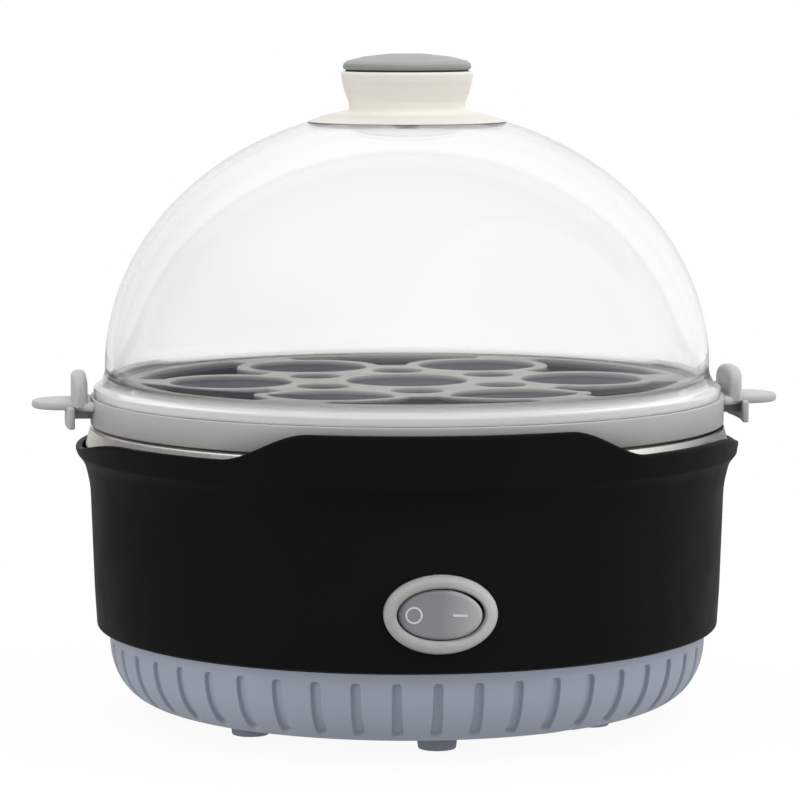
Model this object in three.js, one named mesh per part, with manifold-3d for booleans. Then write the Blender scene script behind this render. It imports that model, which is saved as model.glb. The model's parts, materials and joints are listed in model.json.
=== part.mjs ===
// Seven-egg steam cooker with a clear dome lid, as an assembly of its real pieces.
// Millimetres. +Z up, origin on the resting plane under the middle, switch towards -Y,
// handles of the egg tray along +X and -X. Heights below are drawn from a datum that lies
// DATUM_Z above the resting plane, and the whole cooker is lifted onto its feet at the end.

import * as THREE from 'three';
import { mergeVertices } from 'three/addons/utils/BufferGeometryUtils.js';
import Module from 'manifold-3d';

const wasm = await Module();
wasm.setup();

// ---------------------------------------------------------------- driving dimensions

const GAP = 0.3;              // clearance between pieces that touch
const SIDES_BIG = 40;         // facets round the housing, bowl, tray and dome
const SIDES_MID = 16;         // facets round knobs and egg holes
const SIDES_SMALL = 8;        // facets round screws, studs and wires

const DATUM_Z = 1.4;          // the drawing's zero height, above the resting plane
const FOOT_TOP = 3.3;         // underside of the base pan
const SEAM_Z = 22.7;          // where the base pan meets the casing
const PAN_R = 79.6;           // outside of the base pan at the seam
const PAN_FLAT_R = 64;        // flat bottom of the base pan
const PAN_WALL = 2.2;
const PAN_SQUARENESS = 2.2;   // exponent of the pan's rounded corner, 2 is an ellipse

const CASING_WALL = 2.1;
const RIM_R = 87.2;           // outermost edge of the casing's flared rim
const RIM_Z = 71;             // top of the rim beside the handles
const RIM_FIXED_Z = 69.4;     // the rim keeps its height all round up to here
const RIM_RISE_SIDE = 3.9;    // how much higher the rim is between handle and switch side
const RIM_RISE_FRONT = 11.1;  // how much higher the rim is at the switch side and the back

const BOWL_TOP = 76.4;
const BOWL_FLOOR = 54;
const SHEET = 1;              // sheet steel of the bowl

const TRAY_R = 83.3;
const TRAY_BOTTOM = 76.8;
const TRAY_LEDGE = 83.6;      // where the lid's flange rests
const TRAY_TOP = 87.2;        // raised middle that holds the eggs
const TRAY_PLATE = 2.2;
const PLATEAU_R = 75.4;
const EGG_PITCH = 46.4;       // egg centre to egg centre
const EGG_HOLE_R = 16;
const COLLAR_DEPTH = 6.5;
const COLLAR_WALL = 1.3;
const STEAM_HOLE_R = 6.8;
const GAP_OUTER_R = 71.5;     // outer edge of the curved openings round the tray
const GAP_INNER_R = 42;
const HANDLE_TIP_R = 98.6;
const HANDLE_Z = 80.9;        // underside of the handle tabs
const HANDLE_THICK = 2.2;
const BLADE_HEIGHT = 8.6;
const BLADE_SQUARENESS = 3.4;
const DRIP_SKIRT_Z = 76.2;    // bottom of the skirt under each handle

const DOME_R = 79.4;          // outside of the dome's straight foot
const DOME_FOOT_Z = 91.2;     // where the dome starts to curve
const DOME_RISE = 67.9;
const DOME_WALL = 2;
const FLANGE_R = 82.5;
const FLANGE_Z = TRAY_LEDGE + GAP;

const KNOB_SEAT_Z = 159.4;    // underside of the knob, on top of the dome
const KNOB_TOP_Z = 168.5;
const CAP_R = 16.8;
const HEIGHT = 172.9;         // top of the knob cap

const SWITCH_Z = 37.9;
const BEZEL = { halfWidth: 14, halfHeight: 9.8, front: -84.9, back: -79 };
const ROCKER = { halfWidth: 10.1, halfHeight: 6.15, pivotY: -82, front: 2.1, back: 3 };
const ROCKER_TILT = THREE.MathUtils.degToRad(8);
const ROCKER_WINDOW = { halfWidth: 10.9, halfHeight: 6.5 };
const PIVOT_PIN = { radius: 1.1, halfLength: 7.2, clearance: 0.4 };

const FOOT_COUNT = 6;
const FOOT_RING_R = 51.5;
const FOOT_TURN = 2.8;        // degrees from the switch side to the first foot
const SCREW_RING_R = 66;
const SCREW_ANGLES = [-60, 60, 180];
const SCREW_HOLE_R = 1.8;     // clearance hole of the base and bracket screws
const SCREW_SHANK_R = 1.5;
const SCREW_HEAD = { radius: 3, height: 2 };
const GLAND_Z = 36;
const GLAND_HOLE_R = 5.3;

// ---------------------------------------------------------------- materials

function material(colour, roughness, metalness = 0) {
  return new THREE.MeshStandardMaterial({ color: colour, roughness, metalness });
}

const BLACK_PLASTIC = material(0x1c1c1d, 0.45);
const SLATE_PLASTIC = material(0x8a91a0, 0.5);
const FOOT_RUBBER = material(0x5d626c, 0.7);
const GREY_PLASTIC = material(0xb4b6b3, 0.45);
const ROCKER_PLASTIC = material(0x7f8186, 0.4);
const CREAM_PLASTIC = material(0xe4e1d8, 0.4);
const CAP_PLASTIC = material(0xa9adac, 0.4);
const CLEAR_PLASTIC = new THREE.MeshStandardMaterial({
  color: 0xf2f4f6, roughness: 0.08, transparent: true, opacity: 0.3,
});
const STEEL = material(0xb9b7b2, 0.3, 1);
const ALUMINIUM = material(0xc4c6c8, 0.4, 1);
const BRASS = material(0xc9a75a, 0.35, 1);
const BAKELITE = material(0x2a2724, 0.6);
const SILICONE = material(0x8e3b2e, 0.7);
const WIRE_SLEEVE = material(0xd8d2c2, 0.6);

// ---------------------------------------------------------------- solids and booleans

// A closed geometry with every shared corner stored once.
function closed(geometry) {
  const bare = geometry.clone();
  for (const name of ['normal', 'uv']) {
    bare.deleteAttribute(name);
  }
  return mergeVertices(bare, 1e-4);
}

function toSolid(geometry) {
  const mesh = closed(geometry);
  return new wasm.Manifold(new wasm.Mesh({
    numProp: 3,
    vertProperties: new Float32Array(mesh.getAttribute('position').array),
    triVerts: new Uint32Array(mesh.getIndex().array),
  }));
}

function toGeometry(solid) {
  const mesh = solid.getMesh();
  const geometry = new THREE.BufferGeometry();
  geometry.setAttribute('position', new THREE.BufferAttribute(mesh.vertProperties, mesh.numProp));
  geometry.setIndex(new THREE.BufferAttribute(mesh.triVerts, 1));
  return geometry;
}

function join(...geometries) {
  return toGeometry(geometries.map(toSolid).reduce((whole, next) => whole.add(next)));
}

function cut(geometry, ...cutters) {
  return toGeometry(cutters.map(toSolid).reduce((rest, next) => rest.subtract(next), toSolid(geometry)));
}

// Turns a profile of [radius, height] pairs about +Z. The outside is listed going up.
function turned(profile, sides) {
  const points = profile.map(([radius, height]) => new THREE.Vector2(radius, height));
  return closed(new THREE.LatheGeometry(points, sides)).rotateX(Math.PI / 2);
}

// Like turned, for a ring whose profile closes on itself clear of the axis.
function turnedRing(profile, sides) {
  return turned([...profile, profile[0]], sides);
}

// A round bar along +Z.
function bar(radius, bottom, top, sides = SIDES_SMALL) {
  return turned([[0, bottom], [radius, bottom], [radius, top], [0, top]], sides);
}

function tube(inner, outer, bottom, top, sides) {
  return turnedRing([[inner, bottom], [outer, bottom], [outer, top], [inner, top]], sides);
}

// A flat shape in XY, made thick along +Z from a given height.
function slab(shape, bottom, thickness, curveSegments = 8) {
  const options = { depth: thickness, bevelEnabled: false, curveSegments };
  return new THREE.ExtrudeGeometry(shape, options).translate(0, 0, bottom);
}

function box(sizeX, sizeY, sizeZ, x, y, z) {
  return new THREE.BoxGeometry(sizeX, sizeY, sizeZ).translate(x, y, z);
}

function ellipse(halfWidth, halfHeight) {
  return new THREE.Shape().absellipse(0, 0, halfWidth, halfHeight, 0, 2 * Math.PI);
}

// A full, squared-off ellipse, where a squareness of 2 is a plain one.
function squareEllipse(halfWidth, halfHeight, squareness, steps = 24) {
  const stretch = (value) => Math.sign(value) * Math.abs(value) ** (2 / squareness);
  return new THREE.Shape(Array.from({ length: steps }, (_, i) => {
    const turn = (2 * Math.PI * i) / steps;
    return new THREE.Vector2(halfWidth * stretch(Math.cos(turn)), halfHeight * stretch(Math.sin(turn)));
  }));
}

// An upright oval block that runs along Y between two depths, centred on the switch.
function ovalBlock(halfWidth, halfHeight, front, back) {
  return slab(ellipse(halfWidth, halfHeight), 0, back - front, SIDES_MID)
    .rotateX(Math.PI / 2)
    .translate(0, back, SWITCH_Z);
}

// Part of a flat ring between two radii and two angles, as a shape in XY.
function ringSector(inner, outer, start, end) {
  const shape = new THREE.Shape();
  shape.absarc(0, 0, outer, start, end, false);
  shape.absarc(0, 0, inner, end, start, true);
  shape.closePath();
  return shape;
}

function polar(radius, angle) {
  return [radius * Math.cos(angle), radius * Math.sin(angle)];
}

function radians(degrees) {
  return THREE.MathUtils.degToRad(degrees);
}

// ---------------------------------------------------------------- housing

const PAN_TAPER = 1;          // how much narrower the pan is where its corner ends
const PAN_WALL_HEIGHT = 2.2;  // straight wall between the corner and the seam
const SPIGOT_HEIGHT = 3.3;    // ring of the pan that stands up inside the casing
const SPIGOT_WALL = 1.6;

// Points on the rounded corner of the base pan, from its flat bottom up to its wall.
function panCorner(inset, steps) {
  const wide = PAN_R - PAN_TAPER - inset - PAN_FLAT_R;
  const high = SEAM_Z - PAN_WALL_HEIGHT - FOOT_TOP - inset;
  return Array.from({ length: steps + 1 }, (_, i) => {
    const turn = (i / steps) * (Math.PI / 2);
    return [
      PAN_FLAT_R + wide * Math.sin(turn) ** (2 / PAN_SQUARENESS),
      FOOT_TOP + inset + high * (1 - Math.cos(turn) ** (2 / PAN_SQUARENESS)),
    ];
  });
}

const TOWER_TOP = 26.3;
const TOWER_R = 5;
const WELL_R = 3.5;
const SCREW_HEAD_TOP = 13.7;

function screwPlaces() {
  return SCREW_ANGLES.map((angle) => polar(SCREW_RING_R, radians(angle)));
}

function basePan() {
  const spigotR = PAN_R - CASING_WALL - 0.6;
  const shell = turned([
    [0, FOOT_TOP],
    ...panCorner(0, 6),
    [PAN_R, SEAM_Z - GAP],
    [spigotR, SEAM_Z - GAP],
    [spigotR, SEAM_Z - GAP + SPIGOT_HEIGHT],
    [spigotR - SPIGOT_WALL, SEAM_Z - GAP + SPIGOT_HEIGHT],
    ...panCorner(PAN_WALL, 4).reverse(),
    [0, FOOT_TOP + PAN_WALL],
  ], SIDES_BIG);
  const towers = screwPlaces().map(([x, y]) => bar(TOWER_R, FOOT_TOP + 2, TOWER_TOP).translate(x, y, 0));
  const wells = screwPlaces().flatMap(([x, y]) => [
    bar(WELL_R, 0, SCREW_HEAD_TOP + GAP).translate(x, y, 0),
    bar(SCREW_HOLE_R, 0, TOWER_TOP + 1).translate(x, y, 0),
  ]);
  return cut(join(shell, ...towers), ...wells);
}

function foot() {
  const top = FOOT_TOP - GAP;
  return turned([[0, -DATUM_Z], [4.3, -DATUM_Z], [5, 0.8 - DATUM_Z], [5.4, top], [0, top]], 12);
}

// How much the rim rises at a place round the casing: low at the two handles and behind
// them, highest at the switch side and the back.
function rimRise(x, y) {
  const fromMiddle = THREE.MathUtils.radToDeg(Math.atan2(Math.abs(x), Math.abs(y)));
  const crest = 1 - THREE.MathUtils.smoothstep(fromMiddle, 22, 38);
  const saddle = y < 0 ? 1 - THREE.MathUtils.smoothstep(fromMiddle, 62, 88) : crest;
  return RIM_RISE_SIDE * saddle + (RIM_RISE_FRONT - RIM_RISE_SIDE) * crest;
}

function raiseRim(geometry) {
  const position = geometry.getAttribute('position');
  for (let i = 0; i < position.count; i += 1) {
    const z = position.getZ(i);
    if (z > RIM_FIXED_Z + 0.1) {
      position.setZ(i, z + rimRise(position.getX(i), position.getY(i)));
    }
  }
  return geometry;
}

const BRACKET_Z = 41;
const BRACKET_BOSS = { ringR: 76.3, radius: 4.4, bottom: 29 };
const ARM = { length: 19, width: 9, thick: 4.4, middleR: 71.5 };

const THROUGH_FRONT = [-95, -70];  // from before the front wall to behind it

function outerCasing() {
  const shell = raiseRim(turnedRing([
    [79.9, SEAM_Z],
    [81.4, SEAM_Z + 0.9],
    [82.1, SEAM_Z + 3],
    [82.5, 33],
    [83.1, 52],
    [83.5, 60.7],
    [84.3, 64.7],
    [85.9, 68],
    [RIM_R - 0.3, RIM_FIXED_Z],
    [RIM_R, RIM_Z - 0.8],
    [RIM_R - 0.6, RIM_Z],
    [RIM_R - 1.5, RIM_Z],
    [RIM_R - 1.8, RIM_Z - 0.8],
    [RIM_R - 1.8, RIM_FIXED_Z],
    [84.3, 67.3],
    [82.5, 64.2],
    [83.5 - CASING_WALL, 60],
    [83.1 - CASING_WALL, 52],
    [82.5 - CASING_WALL, 33],
    [79.9, SEAM_Z + 4],
  ], SIDES_BIG));
  const arms = SCREW_ANGLES.map((angle) => (
    box(ARM.length, ARM.width, ARM.thick, ARM.middleR, 0, TOWER_TOP + GAP + ARM.thick / 2)
      .rotateZ(radians(angle))
  ));
  const bosses = [-1, 1].map((side) => bar(BRACKET_BOSS.radius, BRACKET_BOSS.bottom, BRACKET_Z - GAP)
    .translate(side * BRACKET_BOSS.ringR, 0, 0));
  const armHoles = screwPlaces().map(([x, y]) => bar(SCREW_HOLE_R, 20, 35).translate(x, y, 0));
  const bossHoles = [-1, 1].map((side) => (
    bar(SCREW_HOLE_R, BRACKET_Z - 8, BRACKET_Z + 4).translate(side * BRACKET_BOSS.ringR, 0, 0)
  ));
  const switchHole = ovalBlock(BEZEL.halfWidth + GAP, BEZEL.halfHeight + GAP, ...THROUGH_FRONT);
  const glandHole = bar(GLAND_HOLE_R, 70, 95, SIDES_MID)
    .rotateX(-Math.PI / 2)
    .translate(0, 0, GLAND_Z);
  return cut(join(shell, ...arms, ...bosses), ...armHoles, ...bossHoles, switchHole, glandHole);
}

// A pan-head screw pointing up, with its head's underside at zero.
function screw(shankR, shankLength, headR, headHeight) {
  return turned([
    [0, -headHeight],
    [headR * 0.7, -headHeight],
    [headR, -headHeight * 0.6],
    [headR, 0],
    [shankR, 0],
    [shankR, shankLength - shankR],
    [0, shankLength],
  ], SIDES_SMALL);
}

// The bush in the back wall that the mains lead would come through.
function cordGland() {
  const bush = turnedRing([
    [3.5, 77], [6.6, 77], [6.6, 79.4], [5, 79.4], [5, 82.9], [7, 82.9], [6.4, 86], [3.5, 86],
  ], SIDES_MID);
  return bush.rotateX(-Math.PI / 2).translate(0, 0, GLAND_Z);
}

// ---------------------------------------------------------------- heater

function heatingBowl() {
  return turned([
    [0, BOWL_FLOOR - SHEET],
    [70, BOWL_FLOOR - SHEET],
    [75.8, BOWL_FLOOR + 0.8],
    [79.2, 60.5],
    [80.3, 68],
    [81, BOWL_TOP - SHEET],
    [82, BOWL_TOP - SHEET],
    [83.8, 70.7],
    [84.6, 71],
    [83.1, BOWL_TOP - 0.6],
    [82.2, BOWL_TOP],
    [80.6, BOWL_TOP],
    [79.3, 68],
    [78.2, 61],
    [75, BOWL_FLOOR + 1.6],
    [69.6, BOWL_FLOOR],
    [0, BOWL_FLOOR],
  ], SIDES_BIG);
}

const HEATER_BOTTOM = BOWL_FLOOR - 3.6;

function heaterPlate() {
  return bar(46, HEATER_BOTTOM, BOWL_FLOOR - SHEET - GAP, 36);
}

const ELEMENT_R = 36;
const ELEMENT_TUBE = 3.2;
const ELEMENT_Z = 46.8;
const ELEMENT_OPEN = 26;      // degrees left open between the element's two cold ends

// A path that three.js can follow, given as a function of 0 to 1.
class Path3 extends THREE.Curve {
  constructor(place) {
    super();
    this.place = place;
  }

  getPoint(t) {
    return new THREE.Vector3(...this.place(t));
  }
}

function tubeAlong(curve, radius, sides, steps) {
  const section = new THREE.Shape(Array.from({ length: sides }, (_, i) => (
    new THREE.Vector2(...polar(radius, (i / sides) * 2 * Math.PI))
  )));
  return new THREE.ExtrudeGeometry(section, { steps, extrudePath: curve, bevelEnabled: false });
}

function heatingElement() {
  const start = radians(-90 + ELEMENT_OPEN / 2);
  const sweep = radians(360 - ELEMENT_OPEN);
  const ring = new Path3((t) => [...polar(ELEMENT_R, start + sweep * t), ELEMENT_Z]);
  return tubeAlong(ring, ELEMENT_TUBE, 8, 20);
}

const PIN_ANGLE = ELEMENT_OPEN / 2 - 3.4;

function elementPin(side) {
  const angle = radians(-90 + side * PIN_ANGLE);
  const [x, y] = polar(ELEMENT_R, angle);
  return box(3.4, 2.4, 11, 0, 0, 0).rotateZ(angle + Math.PI / 2).translate(x, y, ELEMENT_Z - 4);
}

const BRACKET = { endR: 3.4, middleR: 11, thick: 1.2 };
const STUD_R = 2;

// A strip across the casing that widens in the middle, with a hole for the bowl's stud.
function bracket() {
  const outline = new THREE.Shape();
  const half = BRACKET_BOSS.ringR;
  outline.absarc(half, 0, BRACKET.endR, -Math.PI / 2, Math.PI / 2, false);
  outline.absarc(0, 0, BRACKET.middleR, radians(45), radians(135), false);
  outline.absarc(-half, 0, BRACKET.endR, Math.PI / 2, Math.PI * 1.5, false);
  outline.absarc(0, 0, BRACKET.middleR, radians(225), radians(315), false);
  outline.closePath();
  for (const x of [-half, 0, half]) {
    const holeR = x === 0 ? STUD_R + 0.4 : SCREW_HOLE_R;
    outline.holes.push(new THREE.Path().absarc(x, 0, holeR, 0, 2 * Math.PI, true));
  }
  return slab(outline, BRACKET_Z, BRACKET.thick, 4);
}

function bowlStud() {
  return bar(STUD_R, BRACKET_Z - 7.5, HEATER_BOTTOM - GAP);
}

function bowlNut() {
  const height = 3.2;
  return tube(STUD_R + GAP, 2 * STUD_R, BRACKET_Z - GAP - height, BRACKET_Z - GAP, 6);
}

function thermostat() {
  const top = HEATER_BOTTOM - GAP;
  return turned([
    [0, top - 10], [7, top - 10], [7, top - 4.7], [9, top - 4.7], [9, top], [0, top],
  ], SIDES_MID).translate(0, 21, 0);
}

function thermalFuse() {
  return bar(2.2, -8, 8).rotateY(Math.PI / 2).translate(14, -19, 47);
}

function bowlGasket() {
  return tube(80.4, 81.5, 63, 65.4, SIDES_BIG);
}

// ---------------------------------------------------------------- switch

function switchBezel() {
  const socketR = PIVOT_PIN.radius + PIVOT_PIN.clearance;
  const socketReach = PIVOT_PIN.halfLength + PIVOT_PIN.clearance;
  return cut(
    ovalBlock(BEZEL.halfWidth, BEZEL.halfHeight, BEZEL.front, BEZEL.back),
    ovalBlock(ROCKER_WINDOW.halfWidth, ROCKER_WINDOW.halfHeight, ...THROUGH_FRONT),
    bar(socketR, SWITCH_Z - socketReach, SWITCH_Z + socketReach, 12).translate(0, ROCKER.pivotY, 0),
  );
}

// The rocker's face is a shallow V, so that the pressed half lies level with the bezel.
function switchRocker() {
  const slope = Math.tan(ROCKER_TILT);
  const edge = ROCKER.front + ROCKER.halfWidth * slope;
  const wedge = new THREE.Shape([
    new THREE.Vector2(-ROCKER.halfWidth, -edge),
    new THREE.Vector2(0, -ROCKER.front),
    new THREE.Vector2(ROCKER.halfWidth, -edge),
    new THREE.Vector2(ROCKER.halfWidth - 1.2, ROCKER.back),
    new THREE.Vector2(-ROCKER.halfWidth + 1.2, ROCKER.back),
  ]);
  const oval = slab(ellipse(ROCKER.halfWidth, ROCKER.halfHeight), 0, 20, SIDES_MID)
    .rotateX(Math.PI / 2)
    .translate(0, 10, 0);
  const paddle = toGeometry(toSolid(slab(wedge, -8, 16)).intersect(toSolid(oval)));
  const pin = bar(PIVOT_PIN.radius, -PIVOT_PIN.halfLength, PIVOT_PIN.halfLength, 12);
  return join(paddle, pin)
    .rotateZ(-ROCKER_TILT)
    .translate(0, ROCKER.pivotY, SWITCH_Z);
}

function switchBody() {
  const shell = box(25, 15, 18, 0, -71.2, SWITCH_Z);
  const pocket = box(23, 8, 13.6, 0, -76, SWITCH_Z);
  return cut(shell, pocket);
}

function switchTab(side) {
  return box(0.8, 8, 4.8, side * 6, -59.4, SWITCH_Z);
}

// ---------------------------------------------------------------- wiring

function terminalBlock() {
  return box(26, 12, 9, -24, 34, FOOT_TOP + PAN_WALL + GAP + 4.5);
}

const WIRE_R = 1.3;

function wire(points) {
  const curve = new THREE.CatmullRomCurve3(points.map((p) => new THREE.Vector3(...p)));
  return tubeAlong(curve, WIRE_R, 6, 12);
}

// ---------------------------------------------------------------- egg tray

function eggPlaces() {
  const outer = Array.from({ length: 6 }, (_, i) => polar(EGG_PITCH, radians(60 * i)));
  return [[0, 0], ...outer];
}

function trayRing() {
  return turnedRing([
    [TRAY_R - 1.8, TRAY_BOTTOM],
    [TRAY_R, TRAY_BOTTOM],
    [TRAY_R, TRAY_LEDGE - 0.6],
    [TRAY_R - 0.6, TRAY_LEDGE],
    [PLATEAU_R + 1, TRAY_LEDGE],
    [PLATEAU_R, TRAY_TOP - 0.8],
    [PLATEAU_R - 0.8, TRAY_TOP],
    [GAP_OUTER_R, TRAY_TOP],
    [GAP_OUTER_R, TRAY_TOP - TRAY_PLATE],
    [PLATEAU_R - 2, TRAY_TOP - TRAY_PLATE],
    [PLATEAU_R - 1, TRAY_LEDGE - 2.2],
    [PLATEAU_R + 1, TRAY_LEDGE - 2.2],
    [PLATEAU_R + 1, 74],
    [PLATEAU_R + 2.6, 74],
    [PLATEAU_R + 2.6, TRAY_LEDGE - 2.2],
    [TRAY_R - 1.8, TRAY_LEDGE - 2.2],
  ], SIDES_BIG);
}

// One of the six curved openings between two outer egg holes and the tray's edge.
function edgeOpening(index) {
  const sector = slab(ringSector(GAP_INNER_R, GAP_OUTER_R, radians(7), radians(53)), TRAY_TOP - 6, 10, 6);
  const webR = EGG_HOLE_R + 3.6;
  const around = [0, 60].map((angle) => {
    const [x, y] = polar(EGG_PITCH, radians(angle));
    return bar(webR, 70, 100, SIDES_MID).translate(x, y, 0);
  });
  return cut(sector, ...around).rotateZ(radians(60 * index));
}

function trayPlate() {
  const disc = new THREE.Shape().absarc(0, 0, GAP_OUTER_R + 1, 0, 2 * Math.PI, false);
  const bottom = TRAY_TOP - TRAY_PLATE;
  const collars = eggPlaces().map(([x, y]) => (
    tube(EGG_HOLE_R, EGG_HOLE_R + COLLAR_WALL, TRAY_TOP - COLLAR_DEPTH, TRAY_TOP - 0.5, SIDES_MID)
      .translate(x, y, 0)
  ));
  const eggHoles = eggPlaces().map(([x, y]) => bar(EGG_HOLE_R, 70, 100, SIDES_MID).translate(x, y, 0));
  const steamHoles = Array.from({ length: 6 }, (_, i) => {
    const [x, y] = polar(EGG_PITCH / Math.sqrt(3), radians(30 + 60 * i));
    return bar(STEAM_HOLE_R, 70, 100, SIDES_SMALL).translate(x, y, 0);
  });
  const openings = Array.from({ length: 6 }, (_, i) => edgeOpening(i));
  const plate = cut(slab(disc, bottom, TRAY_PLATE, SIDES_BIG / 2), ...steamHoles, ...openings);
  return cut(join(plate, ...collars), ...eggHoles);
}

// An arched blade on top of the handle, curved to follow the lid's flange.
function handleBlade(spread) {
  const foot = HANDLE_Z + 1;
  const sector = slab(ringSector(84.4, 88.4, -spread, spread), foot, BLADE_HEIGHT, 4);
  const half = 88.4 * Math.sin(spread) + 0.2;
  const arch = slab(squareEllipse(BLADE_HEIGHT, half, BLADE_SQUARENESS), 0, 10)
    .rotateY(Math.PI / 2)
    .translate(80, 0, foot);
  return toGeometry(toSolid(sector).intersect(toSolid(arch)));
}

// A finger tab with an arched blade above it, a drip skirt below it and a rib.
function trayHandle() {
  const tab = new THREE.Shape();
  const endR = 8.5;
  tab.moveTo(TRAY_R - 1, -13);
  tab.quadraticCurveTo(TRAY_R + 4, -11, HANDLE_TIP_R - endR, -endR);
  tab.absarc(HANDLE_TIP_R - endR, 0, endR, -Math.PI / 2, Math.PI / 2, false);
  tab.quadraticCurveTo(TRAY_R + 4, 11, TRAY_R - 1, 13);
  tab.closePath();
  const plate = slab(tab, HANDLE_Z, HANDLE_THICK, 6);
  const spread = radians(7.5);
  const skirt = slab(ringSector(88.2, 90, -spread, spread), DRIP_SKIRT_Z, HANDLE_Z + 1 - DRIP_SKIRT_Z, 4);
  const rib = box(6.4, 1.8, 4, 85.8, 0, HANDLE_Z - 1);
  return join(plate, handleBlade(spread), skirt, rib);
}

function eggTray() {
  const handles = [0, Math.PI].map((angle) => trayHandle().rotateZ(angle));
  return join(trayRing(), trayPlate(), ...handles);
}

// ---------------------------------------------------------------- lid and knob

function domeCurve(radius, rise, start, steps) {
  return Array.from({ length: steps + 1 }, (_, i) => {
    const turn = start + (i / steps) * (Math.PI / 2 - start);
    return [radius * Math.cos(turn), DOME_FOOT_Z + rise * Math.sin(turn)];
  });
}

function domeLid() {
  const outside = domeCurve(DOME_R, DOME_RISE, 0, 8);
  const inside = domeCurve(DOME_R - DOME_WALL, DOME_RISE - DOME_WALL, 0, 7).reverse();
  const shell = turned([
    ...inside,
    [DOME_R - DOME_WALL, FLANGE_Z + 0.4],
    [DOME_R - DOME_WALL + 0.5, FLANGE_Z],
    [FLANGE_R, FLANGE_Z],
    [FLANGE_R, FLANGE_Z + 1.8],
    [DOME_R + 1.2, FLANGE_Z + 3.6],
    ...outside,
  ], SIDES_BIG);
  return cut(shell, bar(2.6, 140, 170));
}

const STEM_R = 5;

function knobBody() {
  return turnedRing([
    [1.9, KNOB_SEAT_Z],
    [STEM_R, KNOB_SEAT_Z],
    [18, KNOB_SEAT_Z - 1.5],
    [25.6, KNOB_SEAT_Z - 3.8],
    [26.2, KNOB_SEAT_Z - 3.5],
    [22, KNOB_SEAT_Z - 2],
    [17, KNOB_SEAT_Z - 0.8],
    [15.2, KNOB_SEAT_Z - 0.2],
    [15.6, 161],
    [16.5, 163.6],
    [17.1, 166],
    [17.3, 167.6],
    [17.2, 168.1],
    [16.7, KNOB_TOP_Z],
    [1.9, KNOB_TOP_Z],
  ], 24);
}

function knobCap() {
  return turned([
    [0, KNOB_TOP_Z + GAP],
    [CAP_R - 0.3, KNOB_TOP_Z + GAP],
    [CAP_R, 169.4],
    [CAP_R - 0.2, 170.2],
    [CAP_R - 1.1, 171],
    [12, 172],
    [6, 172.7],
    [0, HEIGHT],
  ], 24);
}

const WASHER_TOP = KNOB_SEAT_Z - 3.3;
const WASHER_THICK = 0.9;

function knobScrew() {
  return screw(1.6, 12.8, 3.6, 1.6).translate(0, 0, WASHER_TOP - WASHER_THICK - GAP);
}

function knobWasher() {
  return tube(1.9, 5, WASHER_TOP - WASHER_THICK, WASHER_TOP, SIDES_MID);
}

// ---------------------------------------------------------------- assembly

const cooker = new THREE.Group();
cooker.position.z = DATUM_Z;

function addPiece(name, geometry, look) {
  const mesh = new THREE.Mesh(geometry, look);
  mesh.name = name;
  cooker.add(mesh);
  return mesh;
}

addPiece('base_pan', basePan(), SLATE_PLASTIC);
for (let i = 0; i < FOOT_COUNT; i += 1) {
  const [x, y] = polar(FOOT_RING_R, radians(-90 + FOOT_TURN + (360 / FOOT_COUNT) * i));
  addPiece(`foot_${i + 1}`, foot(), FOOT_RUBBER).position.set(x, y, 0);
}
addPiece('outer_casing', outerCasing(), BLACK_PLASTIC);
screwPlaces().forEach(([x, y], i) => {
  addPiece(`base_screw_${i + 1}`, screw(SCREW_SHANK_R, 15.6, SCREW_HEAD.radius, SCREW_HEAD.height), STEEL)
    .position.set(x, y, SCREW_HEAD_TOP);
});
addPiece('cord_gland', cordGland(), BAKELITE);

addPiece('heating_bowl', heatingBowl(), STEEL);
addPiece('bowl_gasket', bowlGasket(), SILICONE);
addPiece('heater_plate', heaterPlate(), ALUMINIUM);
addPiece('heating_element', heatingElement(), STEEL);
[-1, 1].forEach((side, i) => {
  addPiece(`element_pin_${i + 1}`, elementPin(side), BRASS);
});
addPiece('bowl_bracket', bracket(), STEEL);
addPiece('bowl_stud', bowlStud(), STEEL);
addPiece('bowl_nut', bowlNut(), STEEL);
[-1, 1].forEach((side, i) => {
  const shape = screw(SCREW_SHANK_R, 7, SCREW_HEAD.radius, SCREW_HEAD.height);
  const turnedOver = addPiece(`bracket_screw_${i + 1}`, shape, STEEL);
  turnedOver.rotation.x = Math.PI;
  turnedOver.position.set(side * BRACKET_BOSS.ringR, 0, BRACKET_Z + BRACKET.thick + GAP);
});
addPiece('thermostat', thermostat(), BAKELITE);
addPiece('thermal_fuse', thermalFuse(), WIRE_SLEEVE);

addPiece('switch_bezel', switchBezel(), GREY_PLASTIC);
addPiece('switch_rocker', switchRocker(), ROCKER_PLASTIC);
addPiece('switch_body', switchBody(), BAKELITE);
[-1, 1].forEach((side, i) => {
  addPiece(`switch_tab_${i + 1}`, switchTab(side), BRASS);
});

addPiece('terminal_block', terminalBlock(), CREAM_PLASTIC);
addPiece('wire_block_to_switch', wire([
  [-24, 27.4, 10], [-24, 20, 10], [-26, 6, 10], [-22, -30, 16], [-10, -50, 30], [-6, -54, SWITCH_Z],
]), WIRE_SLEEVE);
addPiece('wire_switch_to_element', wire([
  [6, -54, SWITCH_Z], [6.5, -48, 35], [6.5, -40, 31], [6.1, -36.4, 33], [6, -35.6, 36.8],
]), WIRE_SLEEVE);
addPiece('wire_block_to_thermostat', wire([
  [-20, 40.6, 12], [-19, 45, 12.5], [-12, 47, 22], [-3, 34, 30], [0, 23, 34], [0, 21.5, 39],
]), WIRE_SLEEVE);

addPiece('egg_tray', eggTray(), GREY_PLASTIC);
addPiece('dome_lid', domeLid(), CLEAR_PLASTIC);
addPiece('knob_body', knobBody(), CREAM_PLASTIC);
addPiece('knob_cap', knobCap(), CAP_PLASTIC);
addPiece('knob_screw', knobScrew(), CREAM_PLASTIC);
addPiece('knob_washer', knobWasher(), CREAM_PLASTIC);

export default cooker;
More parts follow.
